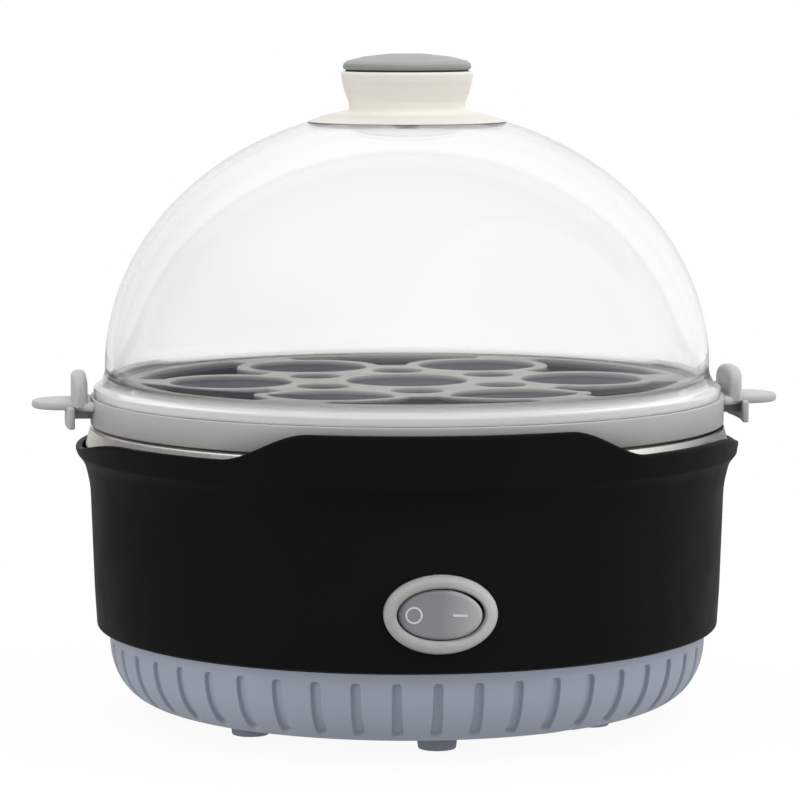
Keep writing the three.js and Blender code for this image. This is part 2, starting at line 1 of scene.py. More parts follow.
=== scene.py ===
"""Looks of a seven-egg steam cooker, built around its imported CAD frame.

Profiles are in millimetres, as [radius, height] pairs about the cooker's upright axis, and
become metres when a mesh is made. Heights are drawn from a datum a little above the resting
plane, and every finished piece is lifted by it. Main sizes come from the frame's own nodes.
"""

import json
import math

import bmesh
import bpy
import numpy as np
from mathutils import Matrix, Vector


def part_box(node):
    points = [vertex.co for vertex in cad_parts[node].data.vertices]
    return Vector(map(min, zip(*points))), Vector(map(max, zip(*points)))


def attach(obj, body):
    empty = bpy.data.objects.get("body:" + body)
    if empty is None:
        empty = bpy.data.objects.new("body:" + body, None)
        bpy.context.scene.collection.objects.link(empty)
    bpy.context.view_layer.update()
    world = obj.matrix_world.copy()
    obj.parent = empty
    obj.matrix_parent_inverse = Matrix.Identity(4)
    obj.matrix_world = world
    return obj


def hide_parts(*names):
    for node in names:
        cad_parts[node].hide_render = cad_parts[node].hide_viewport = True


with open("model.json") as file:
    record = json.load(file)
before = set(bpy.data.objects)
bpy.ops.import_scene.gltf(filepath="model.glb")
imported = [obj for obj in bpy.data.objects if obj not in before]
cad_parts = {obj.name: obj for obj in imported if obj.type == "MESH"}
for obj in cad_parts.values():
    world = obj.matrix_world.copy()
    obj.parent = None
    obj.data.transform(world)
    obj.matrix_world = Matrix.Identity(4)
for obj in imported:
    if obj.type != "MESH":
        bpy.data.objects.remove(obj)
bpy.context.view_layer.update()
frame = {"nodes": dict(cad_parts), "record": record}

MM = 0.001
TAU = 2 * math.pi
ROUND = 256                  # facets round the large turned pieces
ROUND_SMALL = 96             # facets round the collars, the cap's shadow ring and gland
CRISP_ANGLE = 35             # degrees between faces from which an edge looks sharp
BEVEL_ANGLE = 40             # degrees from which an edge of a flat piece is rounded
X, Y, Z = 0, 1, 2
DATUM_Z = 1.4                # heights are drawn from this far above the resting plane


def drawn(corner, axis):
    """A coordinate of a box corner in millimetres, with heights taken from the datum."""
    return corner[axis] / MM - (DATUM_Z if axis == Z else 0)


def low(node, axis):
    """Lowest coordinate of a CAD node along an axis, in millimetres."""
    return drawn(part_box(node)[0], axis)


def high(node, axis):
    """Highest coordinate of a CAD node along an axis, in millimetres."""
    return drawn(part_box(node)[1], axis)


def middle(node):
    """The middle of a CAD node's box, in millimetres."""
    corner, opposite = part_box(node)
    return (corner + opposite) / 2 / MM


# ------------------------------------------------------------------ sizes from the frame

SEAM_Z = low("outer_casing", Z)              # casing meets base pan
RIM_R = high("outer_casing", X)
RIM_TOP_Z = high("outer_casing", Z)          # rim at the switch side
PAN_BOTTOM_Z = low("base_pan", Z)
PAN_R = high("base_pan", X)
FOOT_TOP_Z = high("foot_1", Z)
BOWL_TOP_Z = high("heating_bowl", Z)
BOWL_SKIRT_R = high("heating_bowl", X)
BOWL_BOTTOM_Z = low("heating_bowl", Z)
TRAY_R = high("egg_tray", Y)
TRAY_TIP_R = high("egg_tray", X)
FLANGE_R = high("dome_lid", X)
FLANGE_Z = low("dome_lid", Z)
DOME_TOP_Z = high("dome_lid", Z)
KNOB_TOP_Z = high("knob_body", Z)
KNOB_SKIRT_R = high("knob_body", X)
CAP_R = high("knob_cap", X)
CAP_BOTTOM_Z = low("knob_cap", Z)
CAP_TOP_Z = high("knob_cap", Z)
BEZEL_FRONT_Y = low("switch_bezel", Y)
BEZEL_BACK_Y = high("switch_bezel", Y)
BEZEL_HALF = (high("switch_bezel", X), (high("switch_bezel", Z) - low("switch_bezel", Z)) / 2)
SWITCH_Z = (high("switch_bezel", Z) + low("switch_bezel", Z)) / 2
GLAND_Z = (high("cord_gland", Z) + low("cord_gland", Z)) / 2
GLAND_BACK_Y = high("cord_gland", Y)

# ------------------------------------------------------------------ driving dimensions

SEAM_GAP = 0.3               # clearance between pieces that touch
RIM_LOW_Z = 71.0             # rim beside the handles
RIM_FIXED_Z = 69.4           # the rim is level all round up to here
RIM_RISE_SIDE = 3.9          # extra height of the rim between handle and switch side
RIM_RISE_FRONT = RIM_TOP_Z - RIM_LOW_Z

TRAY_BOTTOM_Z = 76.65
TRAY_LEDGE_Z = 83.75
TRAY_TOP_Z = 87.2
TRAY_PLATE = 2.2
PLATE_EDGE = 0.45            # rounding of the plate's edges
PLATEAU_R = 75.4
EGG_PITCH = 46.4
EGG_HOLE_R = 16.0
EGG_HOLE_BOTTOM_R = 14.9     # the collars narrow downwards
COLLAR_DEPTH = 6.5
STEAM_HOLE_R = 6.8
OPENING_OUTER_R = 71.5
OPENING_INNER_R = 42.0
WEB = 3.6                    # width of the web round each egg hole
TAB_Z = 80.9
TAB_THICK = 2.2
BLADE_R = (84.4, 88.4)       # inside and outside of the blade on each tab
BLADE_SPREAD = 7.5           # degrees to each side
BLADE_HEIGHT = 8.6
BLADE_SQUARENESS = 3.4       # 2 would make its side view half an ellipse
DRIP_SKIRT_Z = 76.2
DRIP_SKIRT_R = (88.2, 90.0)
FLANGE_CLEAR = 0.5           # share of light that the flange lets straight through
FLANGE_REFLECTION_R = (79.8, 80.8)       # radii over which the wall becomes the flange, made part diffuse white as a painted reflection

# Spans over which a look changes, with heights above the resting plane.
# painted shade darkens the egg collars below this height
COLLAR_SHADE_Z = (TRAY_TOP_Z + DATUM_Z - 1.3, TRAY_TOP_Z + DATUM_Z - 0.6)
COLLAR_SHADE_R = (74.5, 75.5)             # the collars' painted shade ends here
# painted shade darkens the tray's rim towards its lower edge
RIM_SHADE_Z = (TRAY_BOTTOM_Z + DATUM_Z, TRAY_LEDGE_Z + DATUM_Z + 0.3)
RIM_SHADE_R = (TRAY_R + 0.4, TRAY_R + 0.8)   # the tabs, outside it, get no painted shade
RIM_SHADE_Y = (-82.0, -62.0)             # the rim's painted shade is darkest at the switch side
DARK_REFLECTION_X = (46.0, 78.0)               # the bowl's edge carries a painted dark reflection beyond this
INSIDE_SHADE_R = (80.2, 80.5)                  # the painted shade inside the bowl ends here
SKIRT_SHADE_R = (18.0, 20.5)              # the knob's skirt gets painted shade beyond this

DOME_R = 79.4
DOME_FOOT_Z = 91.2
DOME_WALL = 2.0
LID_HOLE_R = 2.6             # hole in the dome for the knob's screw
KNOB_BORE_R = 1.9
CAP_GAP_SHADOW_R = (12.0, 16.1)    # dark ring of painted shadow in the gap between knob and cap

FEET = 6
GROOVES = 48                 # upright grooves round the base pan, one at the switch side
GROOVE_TOP_Z = 19.9
GROOVE_BOTTOM_Z = 5.3
GROOVE_HALF_TOP = 1.3
GROOVE_HALF_BOTTOM = 1.6
GROOVE_DEPTH = 1.1

WINDOW_HALF = (10.9, 6.5)    # half width and half height inside the switch bezel
ROCKER_HALF = (10.35, 6.25)

# ------------------------------------------------------------------ mesh helpers


def linked(name, data):
    """A new object in the scene, for a mesh, curve, lamp or camera."""
    obj = bpy.data.objects.new(name, data)
    bpy.context.scene.collection.objects.link(obj)
    return obj


def new_object(name, vertices, faces):
    """A smooth-shaded mesh object from vertices in millimetres."""
    mesh = bpy.data.meshes.new(name)
    mesh.from_pydata([tuple(c * MM for c in v) for v in vertices], [], faces)
    mesh.update()
    obj = linked(name, mesh)
    smooth(obj)
    return obj


def smooth(obj):
    """Shade smooth, with sharp edges kept crisp."""
    obj.data.shade_smooth()
    obj.data.set_sharp_from_angle(angle=math.radians(CRISP_ANGLE))


def bake_modifiers(obj):
    """Replace an object's mesh with the result of its modifiers."""
    graph = bpy.context.evaluated_depsgraph_get()
    mesh = bpy.data.meshes.new_from_object(obj.evaluated_get(graph))
    old = obj.data
    obj.modifiers.clear()
    obj.data = mesh
    mesh.name = obj.name
    bpy.data.meshes.remove(old)


def combine(obj, operation, others):
    """Add solids to a piece or take them away, and delete the solids."""
    others = list(others)
    for other in others:
        modifier = obj.modifiers.new("solid", "BOOLEAN")
        modifier.operation = operation
        modifier.solver = "EXACT"
        modifier.object = other
    bake_modifiers(obj)
    for other in others:
        bpy.data.objects.remove(other)
    smooth(obj)


def carve(obj, *cutters):
    combine(obj, "DIFFERENCE", cutters)


def weld(obj, *extras):
    combine(obj, "UNION", extras)


def joined(name, parts):
    """One object from several, keeping each one's place."""
    merged = bmesh.new()
    for part in parts:
        part.data.transform(part.matrix_world)
        merged.from_mesh(part.data)
    mesh = bpy.data.meshes.new(name)
    merged.to_mesh(mesh)
    merged.free()
    for part in parts:
        bpy.data.objects.remove(part)
    obj = linked(name, mesh)
    smooth(obj)
    return obj


def rounded(points, steps=5, closed=False):
    """Round the corners of an outline. A point is (a, b) or (a, b, corner radius)."""
    count = len(points)
    outline = []
    for i, point in enumerate(points):
        here = Vector(point[:2])
        radius = point[2] if len(point) > 2 else 0
        at_end = not closed and i in (0, count - 1)
        if not radius or at_end:
            outline.append(tuple(here))
            continue
        before = Vector(points[i - 1][:2]) - here
        after = Vector(points[(i + 1) % count][:2]) - here
        half_angle = before.angle(after) / 2
        reach = radius / math.tan(half_angle)
        reach = min(reach, 0.49 * before.length, 0.49 * after.length)
        start = here + before.normalized() * reach
        end = here + after.normalized() * reach
        for step in range(steps + 1):
            t = step / steps
            outline.append(tuple(start.lerp(here, t).lerp(here.lerp(end, t), t)))
    return outline


def polar(radius, turn):
    """A point at a distance and a turn, in radians, from the upright axis."""
    return radius * math.cos(turn), radius * math.sin(turn)


def stitched(rows, closed=False):
    """Faces between neighbouring rings of vertex numbers, and from the last to the first."""
    faces = []
    for lower, upper in zip(rows, rows[1:] + rows[:1] if closed else rows[1:]):
        for i in range(len(lower)):
            k = (i + 1) % len(lower)
            corners = [lower[i], lower[k], upper[k], upper[i]]
            faces.append(list(dict.fromkeys(corners)))
    return faces


def numbered_rows(count, length, first=0):
    """Rings of vertex numbers for vertices that are stored ring after ring."""
    return [list(range(first + row * length, first + (row + 1) * length)) for row in range(count)]


def lathe(name, profile, sides=ROUND, closed=False):
    """Turn an outline about the upright axis. Points on the axis become poles."""
    rows = []
    vertices = []
    for radius, height in profile:
        if radius < 1e-6:
            rows.append([len(vertices)] * sides)
            vertices.append((0, 0, height))
            continue
        rows.append([len(vertices) + i for i in range(sides)])
        vertices.extend((*polar(radius, TAU * i / sides), height) for i in range(sides))
    return new_object(name, vertices, stitched(rows, closed))


def prism(name, outline, bottom, top, bevel=0.0):
    """A flat outline in XY made thick along Z, with its edges rounded."""
    vertices = [(x, y, bottom) for x, y in outline] + [(x, y, top) for x, y in outline]
    lower, upper = numbered_rows(2, len(outline))
    obj = new_object(name, vertices, [lower[::-1], upper] + stitched([lower, upper]))
    if bevel:
        modifier = obj.modifiers.new("round", "BEVEL")
        modifier.width = bevel * MM
        modifier.segments = 4
        modifier.limit_method = "ANGLE"
        modifier.angle_limit = math.radians(BEVEL_ANGLE)
        bake_modifiers(obj)
        smooth(obj)
    return obj


def shifted(outline, x, y):
    return [(x + a, y + b) for a, b in outline]


def ellipse(half_width, half_height, steps=96):
    return [
        (half_width * math.cos(TAU * i / steps), half_height * math.sin(TAU * i / steps))
        for i in range(steps)
    ]


def arc(radius, start, end, steps, centre=(0.0, 0.0)):
    """Points on an arc, with its angles in degrees."""
    turns = [math.radians(start + (end - start) * i / steps) for i in range(steps + 1)]
    return shifted([polar(radius, turn) for turn in turns], *centre)


def place(obj, x=0.0, y=0.0, z=0.0, turn=None):
    """Bake a turn and then a shift, in millimetres, into a piece's mesh."""
    matrix = Matrix.Translation((x * MM, y * MM, z * MM))
    if turn:
        matrix = matrix @ Matrix.Rotation(math.radians(turn[0]), 4, turn[1])
    obj.data.transform(matrix)
    return obj


def facing_front(obj, front_y, z):
    """Stand up a piece modelled lying flat, so that its upper side faces the front."""
    obj.data.transform(Matrix.Rotation(math.radians(90), 4, "X"))
    return place(obj, 0, front_y, z)


def smoothstep(value, start, end):
    t = np.clip((value - start) / (end - start), 0, 1)
    return t * t * (3 - 2 * t)


# ------------------------------------------------------------------ materials


class NodeTree:
    """Shader nodes under construction. A plain number or colour may stand for a socket."""

    def __init__(self, tree, coordinates):
        self.nodes = tree.nodes
        self.links = tree.links
        self.space = self.nodes.new("ShaderNodeTexCoord").outputs[coordinates]

    def plug(self, source, target):
        """Link a socket to a target, or set the target to a number or colour."""
        if isinstance(source, tuple):
            target.default_value = (*source, 1)
        elif isinstance(source, float):
            target.default_value = source
        else:
            self.links.new(source, target)

    def maths(self, operation, first, second):
        node = self.nodes.new("ShaderNodeMath")
        node.operation = operation
        self.plug(first, node.inputs[0])
        self.plug(second, node.inputs[1])
        return node.outputs[0]

    def along(self, axis):
        """The coordinate along an axis, in metres."""
        split = self.nodes.new("ShaderNodeSeparateXYZ")
        self.links.new(self.space, split.inputs[0])
        return split.outputs[axis]

    def vector(self, x, y, z=0.0):
        node = self.nodes.new("ShaderNodeCombineXYZ")
        for source, target in zip((x, y, z), node.inputs):
            self.plug(source, target)
        return node.outputs[0]

    def length(self, vector):
        node = self.nodes.new("ShaderNodeVectorMath")
        node.operation = "LENGTH"
        self.links.new(vector, node.inputs[0])
        return node.outputs["Value"]

    def axis_distance(self):
        """Distance from the upright axis, in metres."""
        return self.length(self.vector(self.along("X"), self.along("Y")))

    def noise(self, scale, detail=3.0, roughness=0.5, vector=None):
        node = self.nodes.new("ShaderNodeTexNoise")
        node.inputs["Scale"].default_value = scale
        node.inputs["Detail"].default_value = detail
        node.inputs["Roughness"].default_value = roughness
        self.links.new(vector or self.space, node.inputs["Vector"])
        return node.outputs["Fac"]

    def spread(self, source, first, last, start=0.3, end=0.7, kind="LINEAR"):
        """From one value to another, while the source goes from a start to an end."""
        node = self.nodes.new("ShaderNodeMapRange")
        node.interpolation_type = kind
        node.inputs["From Min"].default_value = start
        node.inputs["From Max"].default_value = end
        node.inputs["To Min"].default_value = first
        node.inputs["To Max"].default_value = last
        self.links.new(source, node.inputs["Value"])
        return node.outputs["Result"]

    def fade(self, length, span, first=0.0, last=1.0):
        """From one value to another, while a length crosses a span in millimetres."""
        return self.spread(length, first, last, span[0] * MM, span[1] * MM)

    def blend(self, factor, first, second):
        """A mix of two colours."""
        node = self.nodes.new("ShaderNodeMix")
        node.data_type = "RGBA"
        for source, target in zip((first, second), (s for s in node.inputs if s.type == "RGBA")):
            self.plug(source, target)
        self.links.new(factor, node.inputs["Factor"])
        return next(s for s in node.outputs if s.type == "RGBA")

    def seen_directly(self):
        """1 for what the eye sees, straight or through the lid, and 0 for all else."""
        rays = self.nodes.new("ShaderNodeLightPath").outputs
        return self.maths("MAXIMUM", rays["Is Camera Ray"], rays["Is Transmission Ray"])


class Look(NodeTree):
    """A node material under construction, with its Principled shader."""

    def __init__(self, name, **values):
        self.material = bpy.data.materials.new(name)
        self.material.use_nodes = True
        super().__init__(self.material.node_tree, "Object")
        self.shader = self.nodes["Principled BSDF"]
        for socket, value in values.items():
            self.shader.inputs[socket.replace("_", " ")].default_value = value

    def drive(self, socket, source):
        self.links.new(source, self.shader.inputs[socket])

    def bump(self, height, depth_mm, strength=1.0):
        node = self.nodes.new("ShaderNodeBump")
        node.inputs["Strength"].default_value = strength
        node.inputs["Distance"].default_value = depth_mm * MM
        self.links.new(height, node.inputs["Height"])
        self.drive("Normal", node.outputs["Normal"])

    def mottled(self, colour, amount, scale=28.0):
        """A colour that wanders a little lighter and darker in broad patches."""
        broad = self.spread(self.noise(scale, 4.0), 0.0, 1.0)
        return self.blend(broad, shade(colour, 1 - amount), shade(colour, 1 + amount))

    def uneven_gloss(self, smoothest, roughest):
        self.drive("Roughness", self.spread(self.noise(90.0, 5.0, 0.6), smoothest, roughest))


def shade(colour, factor):
    return tuple(min(1.0, c * factor) for c in colour)


def moulded(name, colour, roughness, specular=0.5, grain=0.35, depth=0.012, mottle=0.06):
    """Moulded plastic: a fine spark-eroded grain, faint mottling and uneven gloss."""
    look = Look(name, Specular_IOR_Level=specular)
    look.drive("Base Color", look.mottled(colour, mottle))
    look.uneven_gloss(roughness - 0.05, roughness + 0.06)
    look.bump(look.noise(1000.0 / grain, 2.0), depth)
    return look.material


def spun_rings(look):
    """Fine rings round the upright axis, as a lathe leaves on sheet metal."""
    fine, coarse = 900.0, 4.0
    turn = look.maths("ARCTAN2", look.along("Y"), look.along("X"))
    stretched = look.vector(
        look.maths("MULTIPLY", look.axis_distance(), fine),
        look.maths("MULTIPLY", turn, coarse),
        look.maths("MULTIPLY", look.along("Z"), fine),
    )
    return look.noise(3.0, 6.0, 0.7, stretched)


def water_marks(look, colour, darkest):
    marks = look.spread(look.noise(60.0, 5.0), 0.0, 1.0, 0.45, 0.75)
    return look.blend(marks, colour, shade(colour, darkest))


def spun_metal(name, colour, roughness):
    """Sheet metal spun on a lathe, with fine rings and a few water marks."""
    look = Look(name, Metallic=1.0, Anisotropic=0.5)
    rings = spun_rings(look)
    look.drive("Base Color", water_marks(look, colour, 0.86))
    look.drive("Roughness", look.spread(rings, roughness - 0.08, roughness + 0.12))
    look.bump(rings, 0.006)
    return look.material


def bowl_steel(name, colour, dark_reflection, inside_shade):
    """Spun steel, with a painted dark reflection at one side and painted shade inside its rolled
    edge.
    """
    look = Look(name, Metallic=0.85, Anisotropic=0.5)
    rings = spun_rings(look)
    # painted dark reflection towards the bowl's right edge
    sheet = look.blend(look.fade(look.along("X"), DARK_REFLECTION_X), water_marks(look, colour, 0.9), dark_reflection)
    # painted shade: the bowl's inside is made dark
    inside = look.fade(look.axis_distance(), INSIDE_SHADE_R, 1.0, 0.0)
    look.drive("Base Color", look.blend(inside, sheet, inside_shade))
    look.drive("Roughness", look.spread(rings, 0.24, 0.34))
    look.bump(rings, 0.003)
    return look.material


def plain_metal(name, colour, roughness):
    """Small metal parts with a rolled grain."""
    look = Look(name, Metallic=1.0)
    patches = look.noise(220.0, 5.0, 0.6)
    look.drive("Base Color", look.blend(patches, shade(colour, 0.85), shade(colour, 1.1)))
    look.drive("Roughness", look.spread(patches, roughness - 0.08, roughness + 0.12))
    look.bump(look.noise(1500.0, 2.0), 0.006)
    return look.material


def clear_plastic(name):
    """Polished clear plastic with a faint haze; its thick flange is made part diffuse white, a
    painted reflection.
    """
    look = Look(name, IOR=1.42)
    haze = look.noise(16.0, 4.0)
    look.drive("Base Color", look.blend(haze, (0.995, 0.993, 0.993), (0.985, 0.984, 0.987)))
    look.drive("Roughness", look.spread(look.noise(45.0, 5.0, 0.65), 0.015, 0.05))
    # painted reflection: the flange lets less light through and turns diffuse white
    clear = look.fade(look.axis_distance(), FLANGE_REFLECTION_R, 1.0, FLANGE_CLEAR)
    look.drive("Transmission Weight", clear)
    look.bump(look.noise(7.0, 2.0), 0.02, 0.25)
    return look.material


def knob_plastic(name, colour):
    """The knob's smooth cream plastic, with painted shade on its thin skirt."""
    look = Look(name)
    # painted shade on the knob's skirt
    on_skirt = look.fade(look.axis_distance(), SKIRT_SHADE_R)
    look.drive("Base Color", look.blend(on_skirt, look.mottled(colour, 0.02), shade(colour, 0.78)))
    look.uneven_gloss(0.33, 0.44)
    look.bump(look.noise(3300.0, 2.0), 0.005)
    return look.material


def right_lit_plastic(name, plain, painted_light_colour, reach_mm):
    """Smooth switch plastic with painted light, growing lighter from its middle to its right end."""
    look = Look(name)
    # painted light towards the right end
    look.drive("Base Color", look.blend(look.fade(look.along("X"), (0.0, reach_mm)), plain, painted_light_colour))
    look.uneven_gloss(0.26, 0.36)
    look.bump(look.noise(4000.0, 2.0), 0.004)
    return look.material


def tray_plastic(name, colour, collar_shade_colour):
    """The tray's plastic: collars darkened with painted shade, and a rim darkened with painted shade
    towards its lower edge.
    """
    look = Look(name, Specular_IOR_Level=0.4)
    height = look.along("Z")
    radius = look.axis_distance()
    # painted shade: the rim darkens towards its lower edge, most at the switch side
    low_edge = look.fade(height, RIM_SHADE_Z, 1.0, 0.0)
    on_rim = look.fade(radius, RIM_SHADE_R, 1.0, 0.0)
    front = look.fade(look.along("Y"), RIM_SHADE_Y, 1.0, 0.0)
    darkest = look.blend(front, shade(colour, 0.7), shade(colour, 0.15))
    shaded = look.maths("MULTIPLY", low_edge, on_rim)
    tone = look.blend(shaded, look.mottled(colour, 0.05, 30.0), darkest)
    # painted shade darkens the egg collars below the plate
    inner_side = look.fade(radius, COLLAR_SHADE_R, 1.0, 0.0)
    below = look.fade(height, COLLAR_SHADE_Z, 1.0, 0.0)
    look.drive("Base Color", look.blend(look.maths("MULTIPLY", inner_side, below), tone, collar_shade_colour))
    look.uneven_gloss(0.34, 0.46)
    look.bump(look.noise(3000.0, 2.0), 0.01)
    return look.material


# Each look's maker and its settings. For moulded plastic these are colour, roughness, specular
# level, size of the grain and its depth in millimetres, and how strongly the colour wanders.
RECIPES = {
    "black_plastic": (moulded, (0.0068, 0.0068, 0.0068), 0.45, 0.035, 0.5, 0.02),
    "slate_plastic": (moulded, (0.345, 0.385, 0.455), 0.5, 0.3, 0.4, 0.012, 0.03),
    "foot_rubber": (moulded, (0.22, 0.24, 0.28), 0.62, 0.3, 0.4, 0.02),
    # the tray's second colour is painted shade for the egg collars
    "grey_plastic": (tray_plastic, (0.44, 0.445, 0.425), (0.195, 0.20, 0.245)),
    # bezel and rocker: the second colour is painted light towards the right end
    "bezel_plastic": (right_lit_plastic, (0.385, 0.385, 0.37), (0.54, 0.54, 0.52), BEZEL_HALF[0]),
    "rocker_plastic": (right_lit_plastic, (0.225, 0.228, 0.24), (0.44, 0.45, 0.44), ROCKER_HALF[0]),
    "mark_paint": (moulded, (0.62, 0.63, 0.64), 0.5, 0.4, 0.2, 0.004, 0.03),
    "cream_plastic": (knob_plastic, (0.79, 0.76, 0.70)),
    "clear_nylon": (moulded, (0.86, 0.86, 0.85), 0.3, 0.4, 0.3, 0.005, 0.02),
    "cap_plastic": (moulded, (0.26, 0.272, 0.268), 0.42, 0.45, 0.3, 0.008, 0.03),
    # the knob's gap ring is near black, a painted shadow
    "cap_seat": (moulded, (0.06, 0.062, 0.065), 0.6, 0.2, 0.3, 0.008, 0.03),
    "bakelite": (moulded, (0.022, 0.02, 0.018), 0.5, 0.4, 0.5, 0.03),
    "silicone": (moulded, (0.27, 0.05, 0.035), 0.6, 0.3, 0.4, 0.02),
    "wire_sleeve": (moulded, (0.62, 0.58, 0.5), 0.7, 0.3, 0.6, 0.12),
    "clear_plastic": (clear_plastic,),
    "steel": (spun_metal, (0.60, 0.585, 0.55), 0.34),
    # the bowl's last two colours are a painted dark reflection and painted shade inside
    "bowl_steel": (bowl_steel, (0.92, 0.895, 0.84), (0.035, 0.033, 0.03), (0.05, 0.055, 0.085)),
    "fastener_steel": (plain_metal, (0.5, 0.5, 0.49), 0.34),
    "aluminium": (spun_metal, (0.66, 0.66, 0.67), 0.4),
    "brass": (plain_metal, (0.62, 0.47, 0.2), 0.32),
}
LOOKS = {name: make(name, *settings) for name, (make, *settings) in RECIPES.items()}


def finish_piece(obj, look, body, slot, *nodes):
    """Lift a piece off the datum, give it its material and body, and let it stand for nodes."""
    place(obj, z=DATUM_Z)
    obj.data.materials.clear()
    obj.data.materials.append(LOOKS[look])
    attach(obj, body)
    if nodes:
        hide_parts(*nodes)
    return obj


# ------------------------------------------------------------------ casing


def rim_rise(x, y):
    """How far the rim rises: nothing at and behind the handles, most at the switch side."""
    from_middle = np.degrees(np.arctan2(np.abs(x), np.abs(y)))
    crest = 1 - smoothstep(from_middle, 22, 38)
    saddle = np.where(y < 0, 1 - smoothstep(from_middle, 62, 88), crest)
    return RIM_RISE_SIDE * saddle + (RIM_RISE_FRONT - RIM_RISE_SIDE) * crest


def mesh_points(obj):
    """A mesh's vertices in millimetres, as an array."""
    points = np.empty(len(obj.data.vertices) * 3)
    obj.data.vertices.foreach_get("co", points)
    return points.reshape(-1, 3) / MM


def set_mesh_points(obj, points):
    obj.data.vertices.foreach_set("co", (points * MM).ravel())
    obj.data.update()


GLAND_HOLE_R = 5.3
ARM = {"length": 19.0, "width": 9.0, "thick": 4.4, "middle_r": 71.5, "drilled": (20, 35)}
BOSS = {"ring_r": 76.3, "radius": 4.4, "bottom": 29.0, "top": 40.7}


def casing_arms():
    """Arms that the base screws grip, with their screw holes."""
    arms = []
    holes = []
    half_length, half_width = ARM["length"] / 2, ARM["width"] / 2
    outline = [
        (-half_length, -half_width), (half_length, -half_width),
        (half_length, half_width), (-half_length, half_width),
    ]
    bottom = TOWER_TOP_Z + SEAM_GAP
    for centre in screw_places():
        angle = math.degrees(math.atan2(centre.y, centre.x))
        arm = place(prism("arm", outline, bottom, bottom + ARM["thick"]), ARM["middle_r"])
        arms.append(place(arm, turn=(angle, "Z")))
        holes.append(round_bar(SCREW_HOLE_R, *ARM["drilled"], centre.x, centre.y))
    return arms, holes


def casing_bosses():
    """Bosses that the bowl's bracket is screwed to, with their screw holes."""
    bosses = []
    holes = []
    for side in (-1, 1):
        x = side * BOSS["ring_r"]
        bosses.append(round_bar(BOSS["radius"], BOSS["bottom"], BOSS["top"], x))
        holes.append(round_bar(SCREW_HOLE_R, BOSS["top"] - 8, BOSS["top"] + 4, x))
    return bosses, holes


def build_casing():
    profile = rounded([
        (79.8, SEAM_Z, 0.3),
        (81.9, SEAM_Z + 0.3, 2.6),
        (82.5, 33.0, 60),
        (83.45, 60.7, 30),
        (84.9, 66.6, 8),
        (RIM_R - 0.45, RIM_FIXED_Z - 0.5, 1.0),
        (RIM_R, RIM_LOW_Z - 0.9, 0.8),
        (RIM_R - 0.1, RIM_LOW_Z, 0.7),
        (RIM_R - 1.75, RIM_LOW_Z, 0.6),
        (RIM_R - 1.85, RIM_FIXED_Z, 0.5),
        (84.2, 67.2, 2),
        (81.4, 60.0, 6),
        (80.4, 33.0, 20),
        (79.8, SEAM_Z + 3.6, 1),
    ], steps=8, closed=True)
    casing = lathe("casing_shell", profile, 360, closed=True)
    points = mesh_points(casing)
    above = points[:, 2] > RIM_FIXED_Z + 0.05
    points[above, 2] += rim_rise(points[above, 0], points[above, 1])
    set_mesh_points(casing, points)
    arms, arm_holes = casing_arms()
    bosses, boss_holes = casing_bosses()
    weld(casing, *arms, *bosses)
    window_half = (BEZEL_HALF[0] + SEAM_GAP, BEZEL_HALF[1] + SEAM_GAP)
    window = facing_front(prism("window", ellipse(*window_half), 0, 20), -72, SWITCH_Z)
    hole = facing_front(round_bar(GLAND_HOLE_R, -12, 12), RIM_R - 5, GLAND_Z)
    carve(casing, window, hole, *arm_holes, *boss_holes)
    finish_piece(casing, "black_plastic", "housing", "black_plastic", "outer_casing")


# ------------------------------------------------------------------ base pan and feet

PAN_RING_SPACING = 0.4       # between the rings of points up the pan's outside
PAN_FLAT_R = 64.0
PAN_TAPER = 1.0              # how much narrower the pan is where its corner ends
PAN_WALL_HEIGHT = 2.2        # straight wall between the corner and the seam
PAN_WALL = 2.2
SPIGOT_R = PAN_R - 2.7       # ring of the pan that stands up inside the casing
SPIGOT_HEIGHT = 3.3
SPIGOT_WALL = 1.6
TOWER_TOP_Z = 26.3           # screw towers that carry the casing's arms
TOWER_R = 5.0
WELL_R = 3.5
WELL_TOP_Z = 14.0
SCREW_HOLE_R = 1.8
PAN_SQUARENESS = 2.2         # exponent of the rounded corner, 2 is an ellipse


def pan_corner(inset, steps):
    """The rounded corner of the pan, from its flat bottom up to its wall."""
    wide = PAN_R - PAN_TAPER - inset - PAN_FLAT_R
    tall = SEAM_Z - PAN_WALL_HEIGHT - PAN_BOTTOM_Z - inset
    power = 2 / PAN_SQUARENESS
    points = []
    for i in range(steps + 1):
        turn = i / steps * math.pi / 2
        r = PAN_FLAT_R + wide * math.sin(turn) ** power
        z = PAN_BOTTOM_Z + inset + tall * (1 - math.cos(turn) ** power)
        points.append((r, z))
    return points


def groove_columns():
    """Places across one groove's pitch: 1 is the groove's edge, 2 the middle of the land."""
    half = [0.0, 0.3, 0.55, 0.72, 0.8, 0.85, 0.9, 0.95, 1.0, 1.06, 1.2, 1.5, 2.0]
    return [-value for value in half[:0:-1]] + half[:-1]


def resample(points, spacing):
    """The same curve as evenly spaced points, with the distance along it."""
    curve = np.array(points)
    lengths = np.concatenate([[0], np.cumsum(np.linalg.norm(np.diff(curve, axis=0), axis=1))])
    count = max(2, int(lengths[-1] / spacing))
    along = np.linspace(0, lengths[-1], count + 1)
    radius = np.interp(along, lengths, curve[:, 0])
    height = np.interp(along, lengths, curve[:, 1])
    return radius, height, along


def groove_depth(size, along, start, end, half):
    """Depth of a round-ended groove, where size is 1 at its edge and along runs up the wall."""
    beyond = max(start + half - along, along - end + half, 0) / half
    distance = math.hypot(min(size, 2), beyond)
    return GROOVE_DEPTH * float(1 - smoothstep(distance, 0.76, 1.0))


